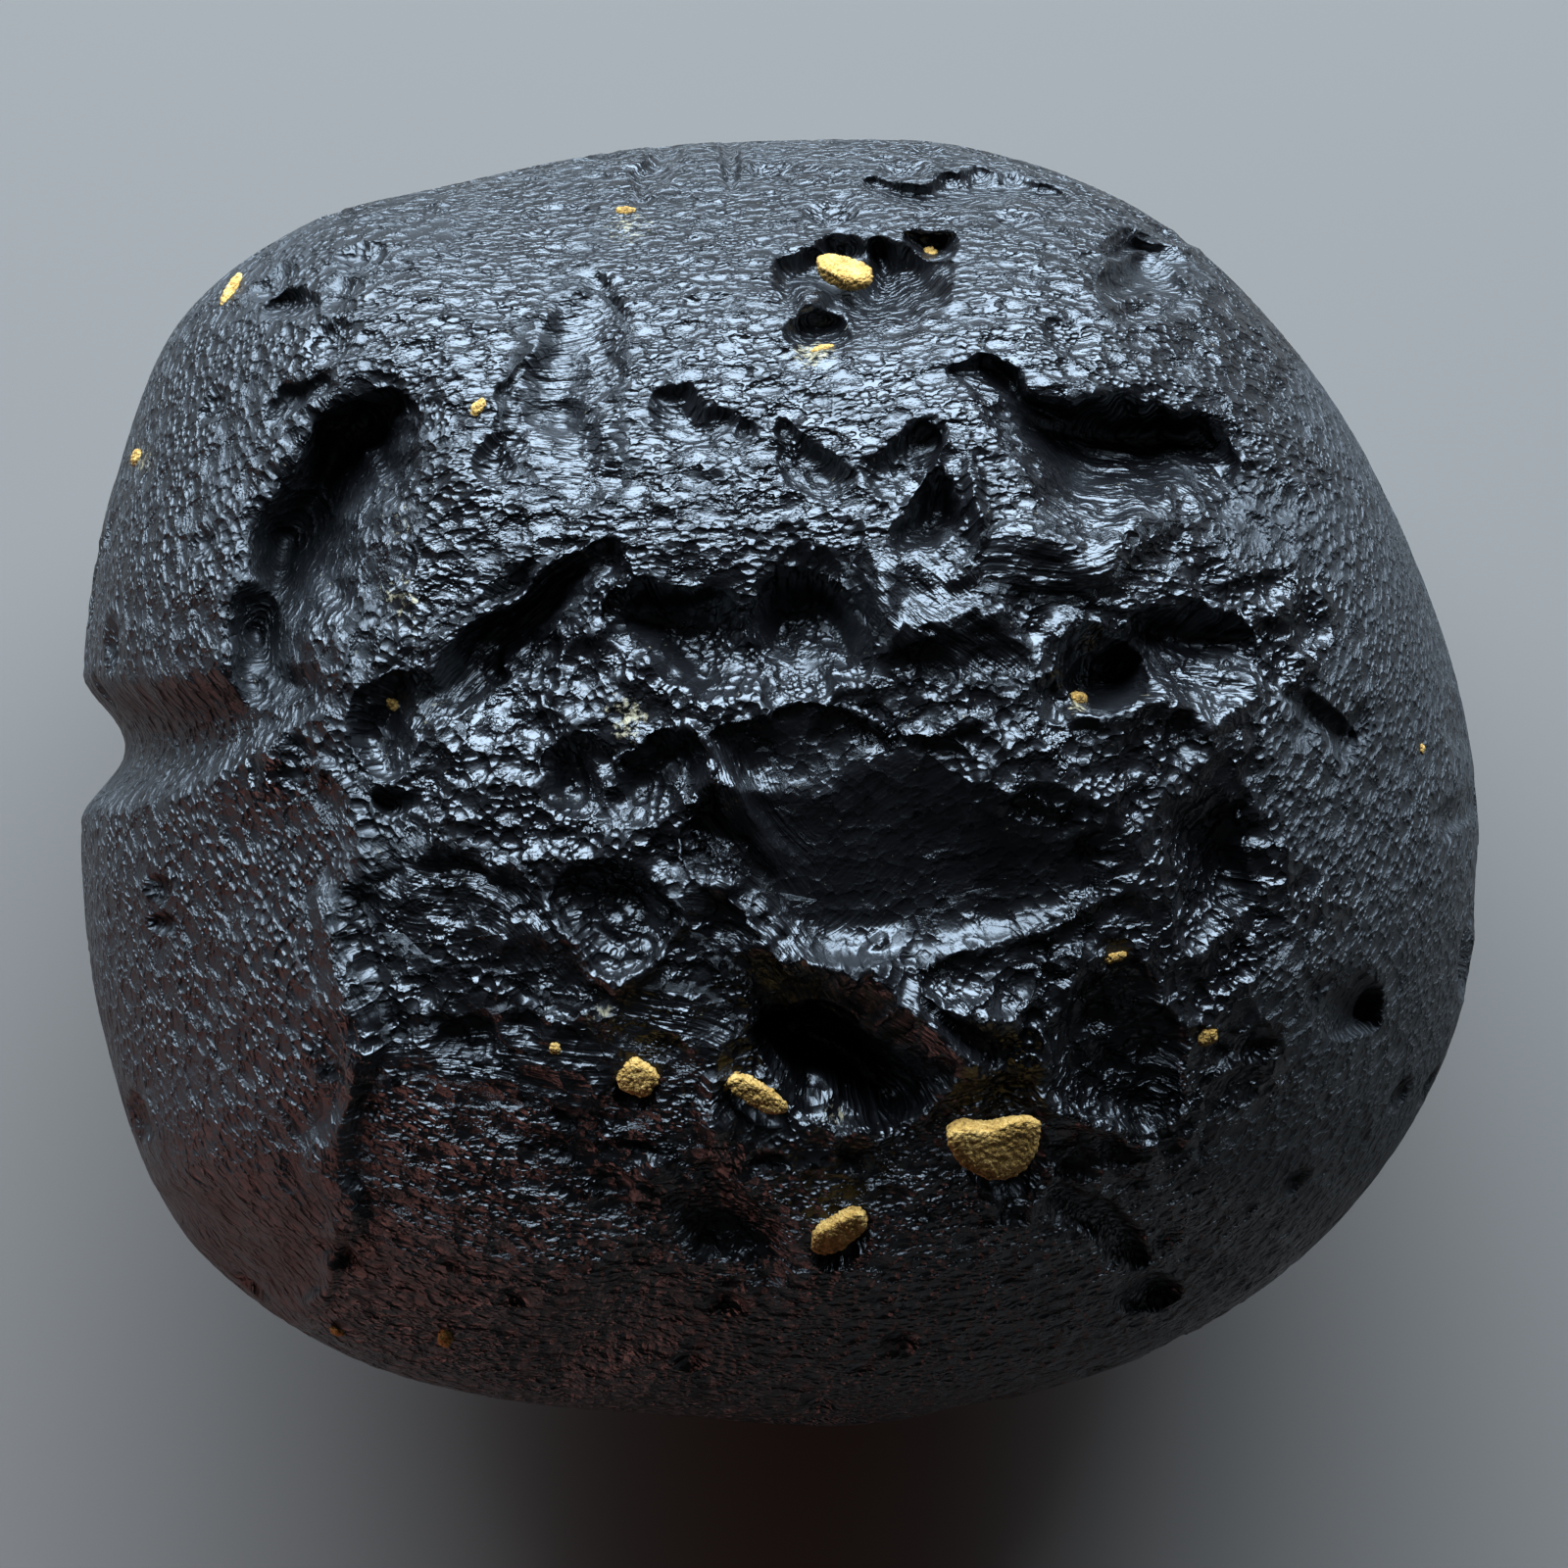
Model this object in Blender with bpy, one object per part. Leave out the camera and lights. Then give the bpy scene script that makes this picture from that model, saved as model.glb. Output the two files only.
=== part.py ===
"""A splash-form tektite: one lump of black natural glass, lying on its back with its deeply pitted face up.

The lump is a star-shaped body. An outline in polar form gives its widest section, and superelliptic
sections rise from it to the crown of the pitted face and fall from it to the belly. Broad dells,
hollows, channels and ridges are carved straight down into the face, and the marks on the flanks and
the belly along the skin's normals. The belly is worn flat where the stone rests. Plugs of dried ochre
soil sit in pockets on the face.

The origin is on the resting face, under the middle of the stone. +X is to the right of the face,
+Y to its upper edge, +Z up, out of the face.
"""

import math
from collections import namedtuple

import bmesh
import bpy
import numpy as np
from mathutils import Matrix, Vector

MM = 0.001  # every size below is in millimetres

# --- driving dimensions -----------------------------------------------------------------------

CROWN_DEPTH = 19.0  # from the widest section up to the crown of the face
BELLY_DEPTH = 16.0  # from the widest section down to the belly, before it is worn flat
WORN_DEPTH = 0.5  # how much of the belly is worn away where the stone rests
FACE_SQUARENESS = 2.1  # exponent of the sections above the widest one: 2 is an ellipse
BELLY_SQUARENESS = 2.15
CROWN_SHIFT = (0.6, 1.6)  # the crown stands a little above and right of the middle
EYE_HEIGHT = 450.0  # marks on the face are laid out as seen from this far above the widest section

WIDEST_Z = BELLY_DEPTH - WORN_DEPTH  # height of the widest section above the resting face

# The widest section: radius by angle, counter-clockwise from +X.
OUTLINE = (
    (0, 23.5),
    (20, 22.75),
    (40, 22.75),
    (60, 22.85),
    (75, 22.45),
    (90, 21.85),
    (105, 22.25),
    (120, 23.3),
    (132, 25.05),
    (142, 25.75),
    (155, 25.0),
    (180, 23.9),
    (200, 24.6),
    (218, 25.45),
    (232, 24.45),
    (245, 23.0),
    (260, 21.75),
    (275, 21.9),
    (290, 22.25),
    (305, 23.15),
    (320, 23.95),
    (340, 24.3),
)

# Swells of the whole skin, so that no side is a true superellipse: height, length, number of waves, seed.
SWELLS = (
    (0.55, 34.0, 7, 11),
    (0.16, 11.0, 9, 12),
)

SWELL_FADE = 5.0  # they die out within about this distance of the widest section

# The marks wander a little from their plain outlines: how far, over what length, number of waves, seed.
WANDERS = (
    (0.38, 9.0, 5, 21),
    (0.16, 3.6, 7, 22),
)

Hollow = namedtuple("Hollow", "x y length width turn depth rim lip", defaults=(0.0,))
Channel = namedtuple("Channel", "route width depth rim")
Plug = namedtuple("Plug", "x y depth plan")
SideHollow = namedtuple("SideHollow", "azimuth latitude length width turn depth rim")

END_WIDTH = 0.45  # how wide a channel is at its ends, in parts of its full width
END_DEPTH = 0.4  # and how deep
SOFT = 2.0  # rim exponent of a form that runs out smoothly
CRISP = 1.0  # rim exponent of a form with a sharp edge
STEPPED = 0.5  # rim exponent of a form with steep walls and a level floor

# A hollow's lip is how much deeper it goes towards its turned +Y side, in parts of its depth. Below 0 it
# goes deeper towards the other side.

# --- the pitted face: x and y as seen from above, turn counter-clockwise -------------------------

BROAD_DELLS = (
    Hollow(-15.2, 8.8, 13.5, 7.0, 64, 1.2, SOFT),  # around the left cavity
    Hollow(12.0, 11.0, 12.5, 6.6, -20, 1.0, SOFT),  # around the upper right trough
    Hollow(-1.2, 5.2, 12.0, 5.4, 4, 0.9, SOFT),  # the band of hollows above the bowl
    Hollow(13.2, 4.0, 9.5, 5.2, 0, 0.8, SOFT),  # around the right cavity
    Hollow(-8.5, 4.0, 11.0, 5.0, 36, 0.7, SOFT),  # around the slanting groove
    Hollow(2.6, 16.4, 9.0, 4.6, -6, 0.7, SOFT),  # around the upper cavity
    Hollow(-19.5, -5.5, 9.0, 15.0, 0, 0.5, SOFT),  # the even flank on the left
    Hollow(-18.5, -17.0, 7.0, 9.0, -35, 0.7, SOFT),  # the lower left facet
    Hollow(14.8, -2.4, 6.0, 8.0, 10, 0.8, SOFT),  # the dark dell on the right
    Hollow(1.5, -9.0, 10.0, 6.0, -4, 0.9, SOFT),  # around the cave
    Hollow(-6.3, -18.6, 8.0, 4.4, 12, 0.5, SOFT),  # the smooth dell at the lower edge
)

HOLLOWS = (
    Hollow(4.1, -2.3, 12.6, 7.4, -12, 1.6, STEPPED, -0.45),  # the great bowl in the middle
    Hollow(0.3, 0.8, 6.8, 4.0, -16, 1.2, STEPPED, -0.3),  # its upper left corner
    Hollow(11.1, 11.2, 10.6, 5.0, -20, 2.0, CRISP, 0.9),  # upper right trough, its slope
    Hollow(-14.1, 10.9, 4.0, 3.2, 60, 1.9, CRISP, 0.5),  # left cavity, upper pit
    Hollow(-15.8, 8.2, 9.2, 4.4, 64, 2.5, CRISP, 0.8),  # left cavity, middle
    Hollow(-17.7, 5.2, 6.0, 3.4, 78, 2.3, CRISP, 0.9),  # left cavity, foot
    Hollow(4.0, 16.8, 4.6, 2.9, 8, 1.5, CRISP, 0.5),  # upper cavity, right half
    Hollow(0.9, 17.4, 3.8, 2.6, 10, 1.0, CRISP, 0.5),  # upper cavity, left half
    Hollow(1.0, 15.2, 2.8, 1.6, -8, 1.1, CRISP),  # pit under the upper cavity
    Hollow(5.4, 18.3, 2.2, 1.4, 0, 1.1, CRISP),  # pit at its right end
    Hollow(3.5, 10.9, 2.3, 1.8, 0, 1.1, CRISP),  # round pit in the middle of the upper half
    Hollow(4.4, 8.9, 1.8, 2.9, 12, 1.9, CRISP),  # the dark slot below it
    Hollow(0.7, 11.1, 1.9, 2.3, 10, 0.9, CRISP),
    Hollow(2.5, 10.9, 1.5, 1.5, 0, 0.6, CRISP),
    Hollow(-3.0, 12.6, 3.0, 1.7, -8, 0.9, CRISP),
    Hollow(-1.4, 12.0, 1.3, 1.0, 0, 0.5, CRISP),
    Hollow(-3.3, 5.3, 4.6, 3.2, -6, 1.7, CRISP, 0.6),  # left of the two dark hollows
    Hollow(1.0, 4.9, 4.6, 3.3, -6, 1.9, CRISP, 0.6),  # right of the two dark hollows
    Hollow(11.1, 3.3, 3.2, 3.2, 0, 2.5, CRISP, 0.3),  # right cavity, the round hole
    Hollow(13.8, 4.8, 5.4, 2.8, 2, 1.3, CRISP, 0.6),  # right cavity, its long part
    Hollow(9.6, 2.6, 2.1, 1.8, 0, 1.3, CRISP),  # right cavity, the lesser hole
    Hollow(-13.8, 2.4, 2.7, 1.8, 0, 1.3, CRISP),  # pits at the foot of the slanting groove
    Hollow(-13.4, 0.5, 2.0, 1.4, 0, 0.9, CRISP),
    Hollow(-9.5, 7.3, 1.5, 1.1, 8, 0.6, CRISP),  # above the slanting groove
    Hollow(-9.4, 11.2, 1.7, 1.3, 0, 0.7, CRISP),
    Hollow(-7.0, 0.3, 2.7, 2.4, 0, 1.3, CRISP),  # left of the twin pits
    Hollow(-4.5, 0.1, 2.7, 2.7, 0, 1.3, CRISP),  # right of the twin pits
    Hollow(-5.7, -4.0, 4.4, 4.2, 0, 0.7, CRISP),  # the ringed pit on the left
    Hollow(1.5, -9.6, 5.2, 3.8, -6, 2.5, CRISP, 0.6),  # the cave
    Hollow(11.2, -9.1, 5.1, 5.3, 0, 1.0, CRISP),  # the great ringed pit on the right
    Hollow(-1.2, -15.2, 4.2, 4.4, 0, 0.9, SOFT),  # the round dell near the lower edge
    Hollow(10.6, -15.3, 3.0, 1.6, -4, 0.7, CRISP),
    Hollow(12.4, -16.6, 2.8, 1.4, -10, 0.6, CRISP),
    Hollow(19.2, -7.8, 2.2, 3.2, -10, 0.8, CRISP),  # pits on the right flank
    Hollow(18.0, 2.2, 1.2, 3.6, 28, 0.7, CRISP),
    Hollow(14.6, -1.7, 2.8, 4.0, 10, 1.0, CRISP),
    Hollow(22.9, 2.4, 1.2, 1.8, 0, 0.5, CRISP),
    Hollow(23.1, -0.6, 1.1, 2.4, 0, 0.5, CRISP),
    Hollow(-16.8, 16.8, 2.6, 1.3, 12, 0.6, CRISP),  # pits on the upper left shoulder
    Hollow(-16.9, 12.9, 2.0, 1.3, 30, 0.7, CRISP),
    Hollow(-20.9, -14.6, 1.6, 4.2, 38, 0.7, CRISP),  # pits on the lower left edge
    Hollow(7.6, -6.3, 3.0, 2.2, 20, 0.8, CRISP),
)

CHANNELS = (
    Channel(((6.0, 13.9), (9.8, 13.2), (13.1, 11.2), (15.3, 9.9)), 1.9, 2.0, CRISP),  # upper right trough
    Channel(((-6.4, 7.0), (-9.4, 4.9), (-12.8, 2.6)), 2.5, 1.8, CRISP),  # slanting groove
    Channel(((-6.5, 16.8), (-7.3, 13.2), (-7.6, 9.4)), 4.4, 1.0, SOFT),  # rippled groove, upper left
    Channel(((-9.0, 14.2), (-9.3, 13.0), (-8.8, 11.8), (-7.8, 10.4)), 0.9, 0.5, CRISP),  # its left rim
    Channel(((11.2, 18.2), (13.6, 16.2)), 2.6, 0.9, CRISP),  # ribbed groove, upper right
    Channel(((3.2, 20.3), (6.2, 20.4), (9.3, 19.5)), 1.3, 0.8, CRISP),  # crescent near the upper edge
    Channel(((-4.7, 21.8), (-4.4, 20.0)), 1.8, 0.6, SOFT),  # grooves that nick the upper edge
    Channel(((-1.6, 22.8), (-1.4, 20.8)), 1.4, 0.7, SOFT),
    Channel(((-12.5, -2.7), (-9.0, -4.6), (-6.4, -6.2)), 1.2, 0.35, SOFT),  # long scratch on the left
)

# The channel that crosses the left edge runs on down the flank, so it nicks the outline.
EDGE_CHANNEL = Channel(((-32.0, 0.6), (-21.0, 1.5), (-16.4, 3.2)), 5.0, 1.5, SOFT)

EDGE_CHANNEL_FOOT = -11.0  # below the widest section, where it starts
EDGE_CHANNEL_FADE = 9.0  # and over what height it deepens

LEFT_CREASE = ((-17.5, 1.2), (-15.6, 0.2), (-14.2, -2.4), (-14.9, -5.4), (-15.1, -13.6), (-15.9, -17.4))

RIDGES = (
    Channel(LEFT_CREASE, 2.2, 0.6, SOFT),  # the crease that bounds the even flank on the left
    Channel(((-4.0, 2.0), (-1.2, -0.9), (0.0, -2.9)), 2.4, 1.3, SOFT),  # the blade beside the bowl
    Channel(((-2.0, -3.5), (-0.7, -5.6), (3.6, -6.4)), 1.9, 0.9, SOFT),
    Channel(((3.8, -5.4), (4.7, -8.1), (5.7, -9.5), (3.9, -10.9)), 2.6, 1.2, SOFT),  # between cave and ring
    Channel(((5.9, -7.5), (7.3, -8.1), (8.6, -7.4)), 1.7, 0.8, SOFT),
    Channel(((3.2, 8.0), (4.8, 5.2), (8.4, 6.4)), 2.4, 0.7, SOFT),
    Channel(((5.9, 10.4), (6.3, 8.8), (6.7, 7.4)), 1.4, 0.7, SOFT),  # pillar beside the dark slot
    Channel(((7.0, 8.0), (11.0, 8.4), (14.6, 9.2)), 2.2, 0.6, SOFT),  # sill under the upper right trough
    Channel(((10.4, 1.6), (14.0, 2.4), (16.6, 3.6)), 2.2, 0.6, SOFT),  # sill under the right cavity
    Channel(((9.0, -7.6), (8.4, -9.4), (9.2, -11.2), (11.4, -12.0), (13.4, -11.6)), 1.2, 0.5, SOFT),
    Channel(((-7.8, -5.0), (-6.6, -6.2), (-4.4, -5.8), (-3.6, -4.2)), 1.1, 0.4, SOFT),
)

KNOBS = (
    Hollow(0.6, 16.7, 2.3, 2.0, 0, 1.2, SOFT),  # the rounded knob inside the upper cavity
    Hollow(-2.7, -11.0, 2.6, 1.4, -40, 0.6, SOFT),  # blisters below the cave
    Hollow(2.0, -11.8, 2.6, 1.5, 10, 0.5, SOFT),
    Hollow(-3.9, -13.3, 2.2, 1.2, -15, 0.5, SOFT),
)

FACE_FOOT = -0.5  # the face's marks start here, by the widest section
FACE_FADE = 4.0  # and reach their full depth over this height
LEAST_LEVELNESS = 0.5  # no mark is carved deeper than as on a slope of 60 degrees

# --- the flanks and the belly: azimuth counter-clockwise from +X, latitude below 0 is towards the belly

SIDE_HOLLOWS = (
    SideHollow(-62, -18, 9.0, 5.2, 20, 1.4, SOFT),
    SideHollow(-88, -30, 5.4, 3.6, -35, 1.2, CRISP),
    SideHollow(-20, -34, 8.2, 4.8, 60, 1.5, SOFT),
    SideHollow(8, -22, 4.6, 3.8, 0, 1.2, CRISP),
    SideHollow(34, -26, 10.5, 3.6, -30, 1.5, SOFT),
    SideHollow(58, -12, 4.6, 3.2, 30, 1.1, CRISP),
    SideHollow(84, -24, 8.4, 4.2, 80, 1.3, SOFT),
    SideHollow(108, -8, 4.2, 3.0, 10, 1.0, CRISP),
    SideHollow(126, -30, 6.6, 4.6, -20, 1.5, CRISP),
    SideHollow(152, -20, 9.6, 3.4, 52, 1.4, SOFT),
    SideHollow(186, -34, 5.0, 3.6, 15, 1.2, CRISP),
    SideHollow(208, -14, 7.6, 4.4, -50, 1.3, SOFT),
    SideHollow(232, -32, 5.6, 4.8, 0, 1.4, CRISP),
    SideHollow(250, -48, 8.6, 3.2, 40, 1.2, SOFT),
    SideHollow(300, -52, 5.2, 4.2, 0, 1.2, CRISP),
    SideHollow(18, -54, 6.0, 4.4, 30, 1.3, CRISP),
    SideHollow(66, -56, 9.4, 3.2, -60, 1.2, SOFT),
    SideHollow(110, -58, 4.8, 3.8, 0, 1.1, CRISP),
    SideHollow(160, -56, 6.4, 4.2, 20, 1.3, CRISP),
    SideHollow(346, 4, 4.4, 3.0, 70, 0.9, CRISP),
    SideHollow(272, 6, 6.8, 3.4, 8, 1.0, SOFT),
)

# --- many lesser pits, strewn over the skin:
# number, least and greatest width, depth in widths, how high they reach (1 is the crown), seed

STREWN_PITS = (
    (95, 1.8, 3.6, 0.2, 0.1, 31),
    (150, 1.2, 2.0, 0.22, 1.0, 133),
)

# --- soil plugs, each in a pocket of its own ---------------------------------------------------

# A plug's plan: how far its edge lies from its middle, every 30 degrees counter-clockwise from +X.

SOIL_PLUGS = (
    Plug(7.4, -12.6, 1.8, (1.3, 1.55, 1.05, 0.8, 0.85, 2.0, 1.4, 1.15, 1.1, 1.25, 1.4, 1.35)),  # the largest
    Plug(2.0, -15.6, 1.5, (0.6, 1.0, 1.2, 0.75, 0.55, 0.7, 0.8, 1.05, 1.0, 0.65, 0.5, 0.5)),
    Plug(2.0, 17.9, 1.5, (0.95, 0.65, 0.6, 0.6, 0.75, 0.9, 0.7, 0.5, 0.5, 0.6, 0.9, 1.05)),
    Plug(-1.0, -10.9, 1.3, (0.6, 0.4, 0.35, 0.4, 0.75, 1.15, 0.6, 0.4, 0.35, 0.4, 0.7, 1.15)),
    Plug(-5.0, -10.3, 1.3, (0.65, 0.6, 0.5, 0.65, 0.6, 0.55, 0.65, 0.7, 0.55, 0.6, 0.65, 0.5)),
)
POCKET_MARGIN = 0.75  # a pocket is this much larger than its plug all round
PLUG_CLEARANCE = 0.35  # and the plug stands this far off its floor
PLUG_THICKNESS = 0.72  # height of a plug, in depths of its pocket
PLUG_FULLNESS = 0.7  # exponent of its rounding: 1 is a ball, less has a flatter top and steeper sides
PLUG_ROUGHNESS = 0.07  # how far its corners stray, in parts of its size
PLUG_DETAIL = 3  # 320 faces

# --- mesh density ----------------------------------------------------------------------------------

GRID_CUTS = 95  # cuts along each edge of the cube that becomes the lump
GLASS_FACES = 8250  # triangles kept: few on even skin, many on rims

WEAR_BLOCK = (80.0, 20.0)  # width and height of the block that takes the worn part of the belly away

GLASS_COLOUR = (0.012, 0.011, 0.012, 1.0)
GLASS_ROUGHNESS = 0.18
SOIL_COLOUR = (0.56, 0.36, 0.11, 1.0)
SOIL_ROUGHNESS = 0.95


def clear_scene():
    for obj in list(bpy.data.objects):
        bpy.data.objects.remove(obj)


def plain_material(name, colour, roughness):
    material = bpy.data.materials.new(name)
    material.use_nodes = True
    shader = material.node_tree.nodes["Principled BSDF"]
    shader.inputs["Base Color"].default_value = colour
    shader.inputs["Roughness"].default_value = roughness
    shader.inputs["Metallic"].default_value = 0.0
    return material


def outline_radius(angle):
    """The radius of the widest section at each angle in degrees, on a closed Catmull-Rom curve."""
    knots = np.array([a for a, _ in OUTLINE], float)
    radii = np.array([r for _, r in OUTLINE], float)
    count = len(knots)
    knots = np.concatenate([knots - 360, knots, knots + 360])
    radii = np.tile(radii, 3)
    slopes = np.gradient(radii, knots)
    angle = np.mod(angle, 360)
    left = np.clip(np.searchsorted(knots, angle, side="right") - 1, count - 1, 2 * count)
    span = knots[left + 1] - knots[left]
    t = (angle - knots[left]) / span
    return (
        (2 * t**3 - 3 * t**2 + 1) * radii[left]
        + (t**3 - 2 * t**2 + t) * span * slopes[left]
        + (3 * t**2 - 2 * t**3) * radii[left + 1]
        + (t**3 - t**2) * span * slopes[left + 1]
    )


def smooth_body(directions):
    """Points of the uncarved lump along unit directions, measured from the middle of its widest section."""
    x, y, z = directions.T
    outline = outline_radius(np.degrees(np.arctan2(y, x)))
    above = z > 0
    depth = np.where(above, CROWN_DEPTH, BELLY_DEPTH)
    power = np.where(above, FACE_SQUARENESS, BELLY_SQUARENESS)
    reach = ((np.hypot(x, y) / outline) ** power + (np.abs(z) / depth) ** power) ** (-1 / power)
    points = directions * reach[:, None]
    lean = np.where(above, (points[:, 2] / CROWN_DEPTH) ** 2, 0.0)
    points[:, 0] += lean * CROWN_SHIFT[0]
    points[:, 1] += lean * CROWN_SHIFT[1]
    return points


def waves(points, length, count, seed):
    """A sum of sine waves in seeded directions, about 1 high."""
    rng = np.random.default_rng(seed)
    directions = rng.normal(size=(count, points.shape[1]))
    directions /= np.linalg.norm(directions, axis=1)[:, None]
    directions *= 2 * math.pi / length * rng.uniform(0.7, 1.4, count)[:, None]
    phases = rng.uniform(0, 2 * math.pi, count)
    return np.sin(points @ directions.T + phases).sum(axis=1) / math.sqrt(count / 2)


def swell(points):
    """How far the skin swells: nothing at the widest section, whose outline stays as given."""
    share = points[:, 2] ** 2 / (points[:, 2] ** 2 + SWELL_FADE**2)
    return share * sum(height * waves(points, length, count, seed) for height, length, count, seed in SWELLS)


def wander(seen):
    """Places seen from above, each moved a little, so that plain ovals get natural outlines."""
    moved = seen.copy()
    for reach, length, count, seed in WANDERS:
        moved[:, 0] += reach * waves(seen, length, count, seed)
        moved[:, 1] += reach * waves(seen, length, count, seed + 100)
    return moved


def profile(reach, rim):
    """1 in the middle of a form, 0 from its rim outwards."""
    return np.clip(1 - reach**2, 0, None) ** rim


def as_seen(points):
    """x and y of each point as seen from the eye above the face."""
    return points[:, :2] * (EYE_HEIGHT / (EYE_HEIGHT - points[:, 2]))[:, None]


def hollowed(seen, form):
    """How deep one oval form goes at each place."""
    turn = math.radians(form.turn)
    dx, dy = seen[:, 0] - form.x, seen[:, 1] - form.y
    along = (dx * math.cos(turn) + dy * math.sin(turn)) * 2 / form.length
    across = (dy * math.cos(turn) - dx * math.sin(turn)) * 2 / form.width
    depth = form.depth * profile(np.hypot(along, across), form.rim)
    return depth * (1 + form.lip * np.clip(across, -1, 1))


def grooved(seen, form):
    """How deep one channel goes at each place, or how high one ridge stands. It is less at the ends."""
    reach, share = beside_route(seen, form)
    depth = form.depth * (END_DEPTH + (1 - END_DEPTH) * np.sin(math.pi * share))
    return depth * profile(reach, form.rim)


def beside_route(seen, form):
    """How far each place is from a channel's centreline, where its rim is at 1, and how far along it.

    A channel narrows towards its ends.
    """
    route = np.array(form.route, float)
    runs = np.diff(route, axis=0)
    lengths = np.linalg.norm(runs, axis=1)
    behind = np.concatenate([[0.0], np.cumsum(lengths)])
    nearest = np.full(len(seen), np.inf)
    share = np.zeros(len(seen))
    for start, run, length, before in zip(route, runs, lengths, behind):
        t = np.clip((seen - start) @ run / length**2, 0, 1)
        away = np.linalg.norm(seen - start - t[:, None] * run, axis=1)
        closer = away < nearest
        nearest[closer] = away[closer]
        share[closer] = ((before + t * length) / behind[-1])[closer]
    width = form.width * (END_WIDTH + (1 - END_WIDTH) * np.sin(math.pi * share))
    return nearest * 2 / width, share


def plan_radius(plug, angles):
    """How far a plug's edge lies from its middle at each angle."""
    plan = np.append(plug.plan, plug.plan[0])
    return np.interp(angles % (2 * math.pi), np.linspace(0, 2 * math.pi, len(plan)), plan)


def pocketed(seen, plug):
    """How deep a plug's pocket goes at each place. It follows the plug's plan, a margin outside it."""
    dx, dy = seen[:, 0] - plug.x, seen[:, 1] - plug.y
    edge = plan_radius(plug, np.arctan2(dy, dx)) + POCKET_MARGIN
    return plug.depth * profile(np.hypot(dx, dy) / edge, CRISP)


def face_depth(seen):
    """How deep the face is carved at each place seen from above."""
    pockets = [pocketed(seen, plug) for plug in SOIL_PLUGS]
    seen = wander(seen)
    broad = sum(hollowed(seen, form) for form in BROAD_DELLS)
    cuts = [hollowed(seen, form) for form in HOLLOWS]
    cuts += [grooved(seen, form) for form in CHANNELS]
    raised = [grooved(seen, form) for form in RIDGES]
    raised += [hollowed(seen, form) for form in KNOBS]
    return broad + np.max(cuts + pockets, axis=0) - np.max(raised, axis=0)


def side_depth(points):
    """How deep the flanks and the belly are carved: the same ovals, laid on tangent planes."""
    deepest = np.zeros(len(points))
    for form in SIDE_HOLLOWS:
        azimuth, latitude = math.radians(form.azimuth), math.radians(form.latitude)
        level = math.cos(latitude)
        outward = np.array((level * math.cos(azimuth), level * math.sin(azimuth), math.sin(latitude)))
        centre = smooth_body(outward[None, :])[0]
        east = np.array((-math.sin(azimuth), math.cos(azimuth), 0.0))
        north = np.cross(outward, east)
        offset = points - centre
        flat = np.stack([offset @ east, offset @ north], axis=1)
        on_this_side = np.abs(offset @ outward) < form.length
        laid = Hollow(0, 0, form.length, form.width, form.turn, form.depth, form.rim)
        deepest = np.maximum(deepest, np.where(on_this_side, hollowed(flat, laid), 0))
    return deepest


def pit_depth(points):
    """How deep the lesser pits go: round bowls at seeded places, where the deepest wins."""
    deepest = np.zeros(len(points))
    for count, least, greatest, steepness, highest, seed in STREWN_PITS:
        rng = np.random.default_rng(seed)
        outward = rng.normal(size=(count, 3))
        outward /= np.linalg.norm(outward, axis=1)[:, None]
        widths = least * (greatest / least) ** rng.uniform(0, 1, count)
        low = outward[:, 2] <= highest
        for centre, width in zip(smooth_body(outward[low]), widths[low]):
            reach = np.linalg.norm(points - centre, axis=1) * 2 / width
            deepest = np.maximum(deepest, width * steepness * profile(reach, CRISP))
    return deepest


def carved(points, normals):
    """The skin after carving.

    The flanks and the edge channel are carved along the normals. The face is carved straight down, and
    deeper where it slopes, so that every mark stays where it is laid out.
    """
    skin = points - normals * (side_depth(points) + pit_depth(points) - swell(points))[:, None]
    seen = as_seen(skin)
    edge_share = np.clip((points[:, 2] - EDGE_CHANNEL_FOOT) / EDGE_CHANNEL_FADE, 0, 1)
    edge_share = edge_share * (points[:, 0] < 0)
    skin -= normals * (edge_share * grooved(seen, EDGE_CHANNEL))[:, None]
    face_share = np.clip((points[:, 2] - FACE_FOOT) / FACE_FADE, 0, 1)
    skin[:, 2] -= face_share * face_depth(seen) / np.clip(normals[:, 2], LEAST_LEVELNESS, 1)
    return skin


def lump_grid():
    """A cube cut into a fine grid and blown up into a unit sphere."""
    grid = bmesh.new()
    bmesh.ops.create_cube(grid, size=2.0)
    bmesh.ops.subdivide_edges(grid, edges=grid.edges[:], cuts=GRID_CUTS, use_grid_fill=True)
    for vertex in grid.verts:
        # The tangent spreads the grid evenly over the sphere.
        even = Vector([math.tan(c * math.pi / 4) for c in vertex.co])
        vertex.co = even.normalized()
    return grid


def coordinates(mesh):
    flat = np.empty(len(mesh.vertices) * 3, np.float32)
    mesh.vertices.foreach_get("co", flat)
    return flat.reshape(-1, 3).astype(float)


def vertex_normals(mesh):
    return np.array([v.normal[:] for v in mesh.vertices], float)


def set_coordinates(mesh, points):
    mesh.vertices.foreach_set("co", points.astype(np.float32).ravel())
    mesh.update()


def make_skin():
    """The carved lump as a mesh, with the points and normals that it had before carving."""
    mesh = bpy.data.meshes.new("tektite")
    grid = lump_grid()
    grid.to_mesh(mesh)
    grid.free()
    smooth = smooth_body(coordinates(mesh))
    set_coordinates(mesh, smooth)
    normals = vertex_normals(mesh)
    set_coordinates(mesh, carved(smooth, normals))
    return mesh, smooth, normals


def to_metres(mesh):
    mesh.transform(Matrix.Scale(MM, 4) @ Matrix.Translation((0, 0, WIDEST_Z)))


def thinned(obj):
    """Keeps GLASS_FACES triangles, where the skin bends most."""
    thin = obj.modifiers.new("thin", "DECIMATE")
    thin.ratio = GLASS_FACES / (2 * len(obj.data.polygons))
    thin.use_collapse_triangulate = True


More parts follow.
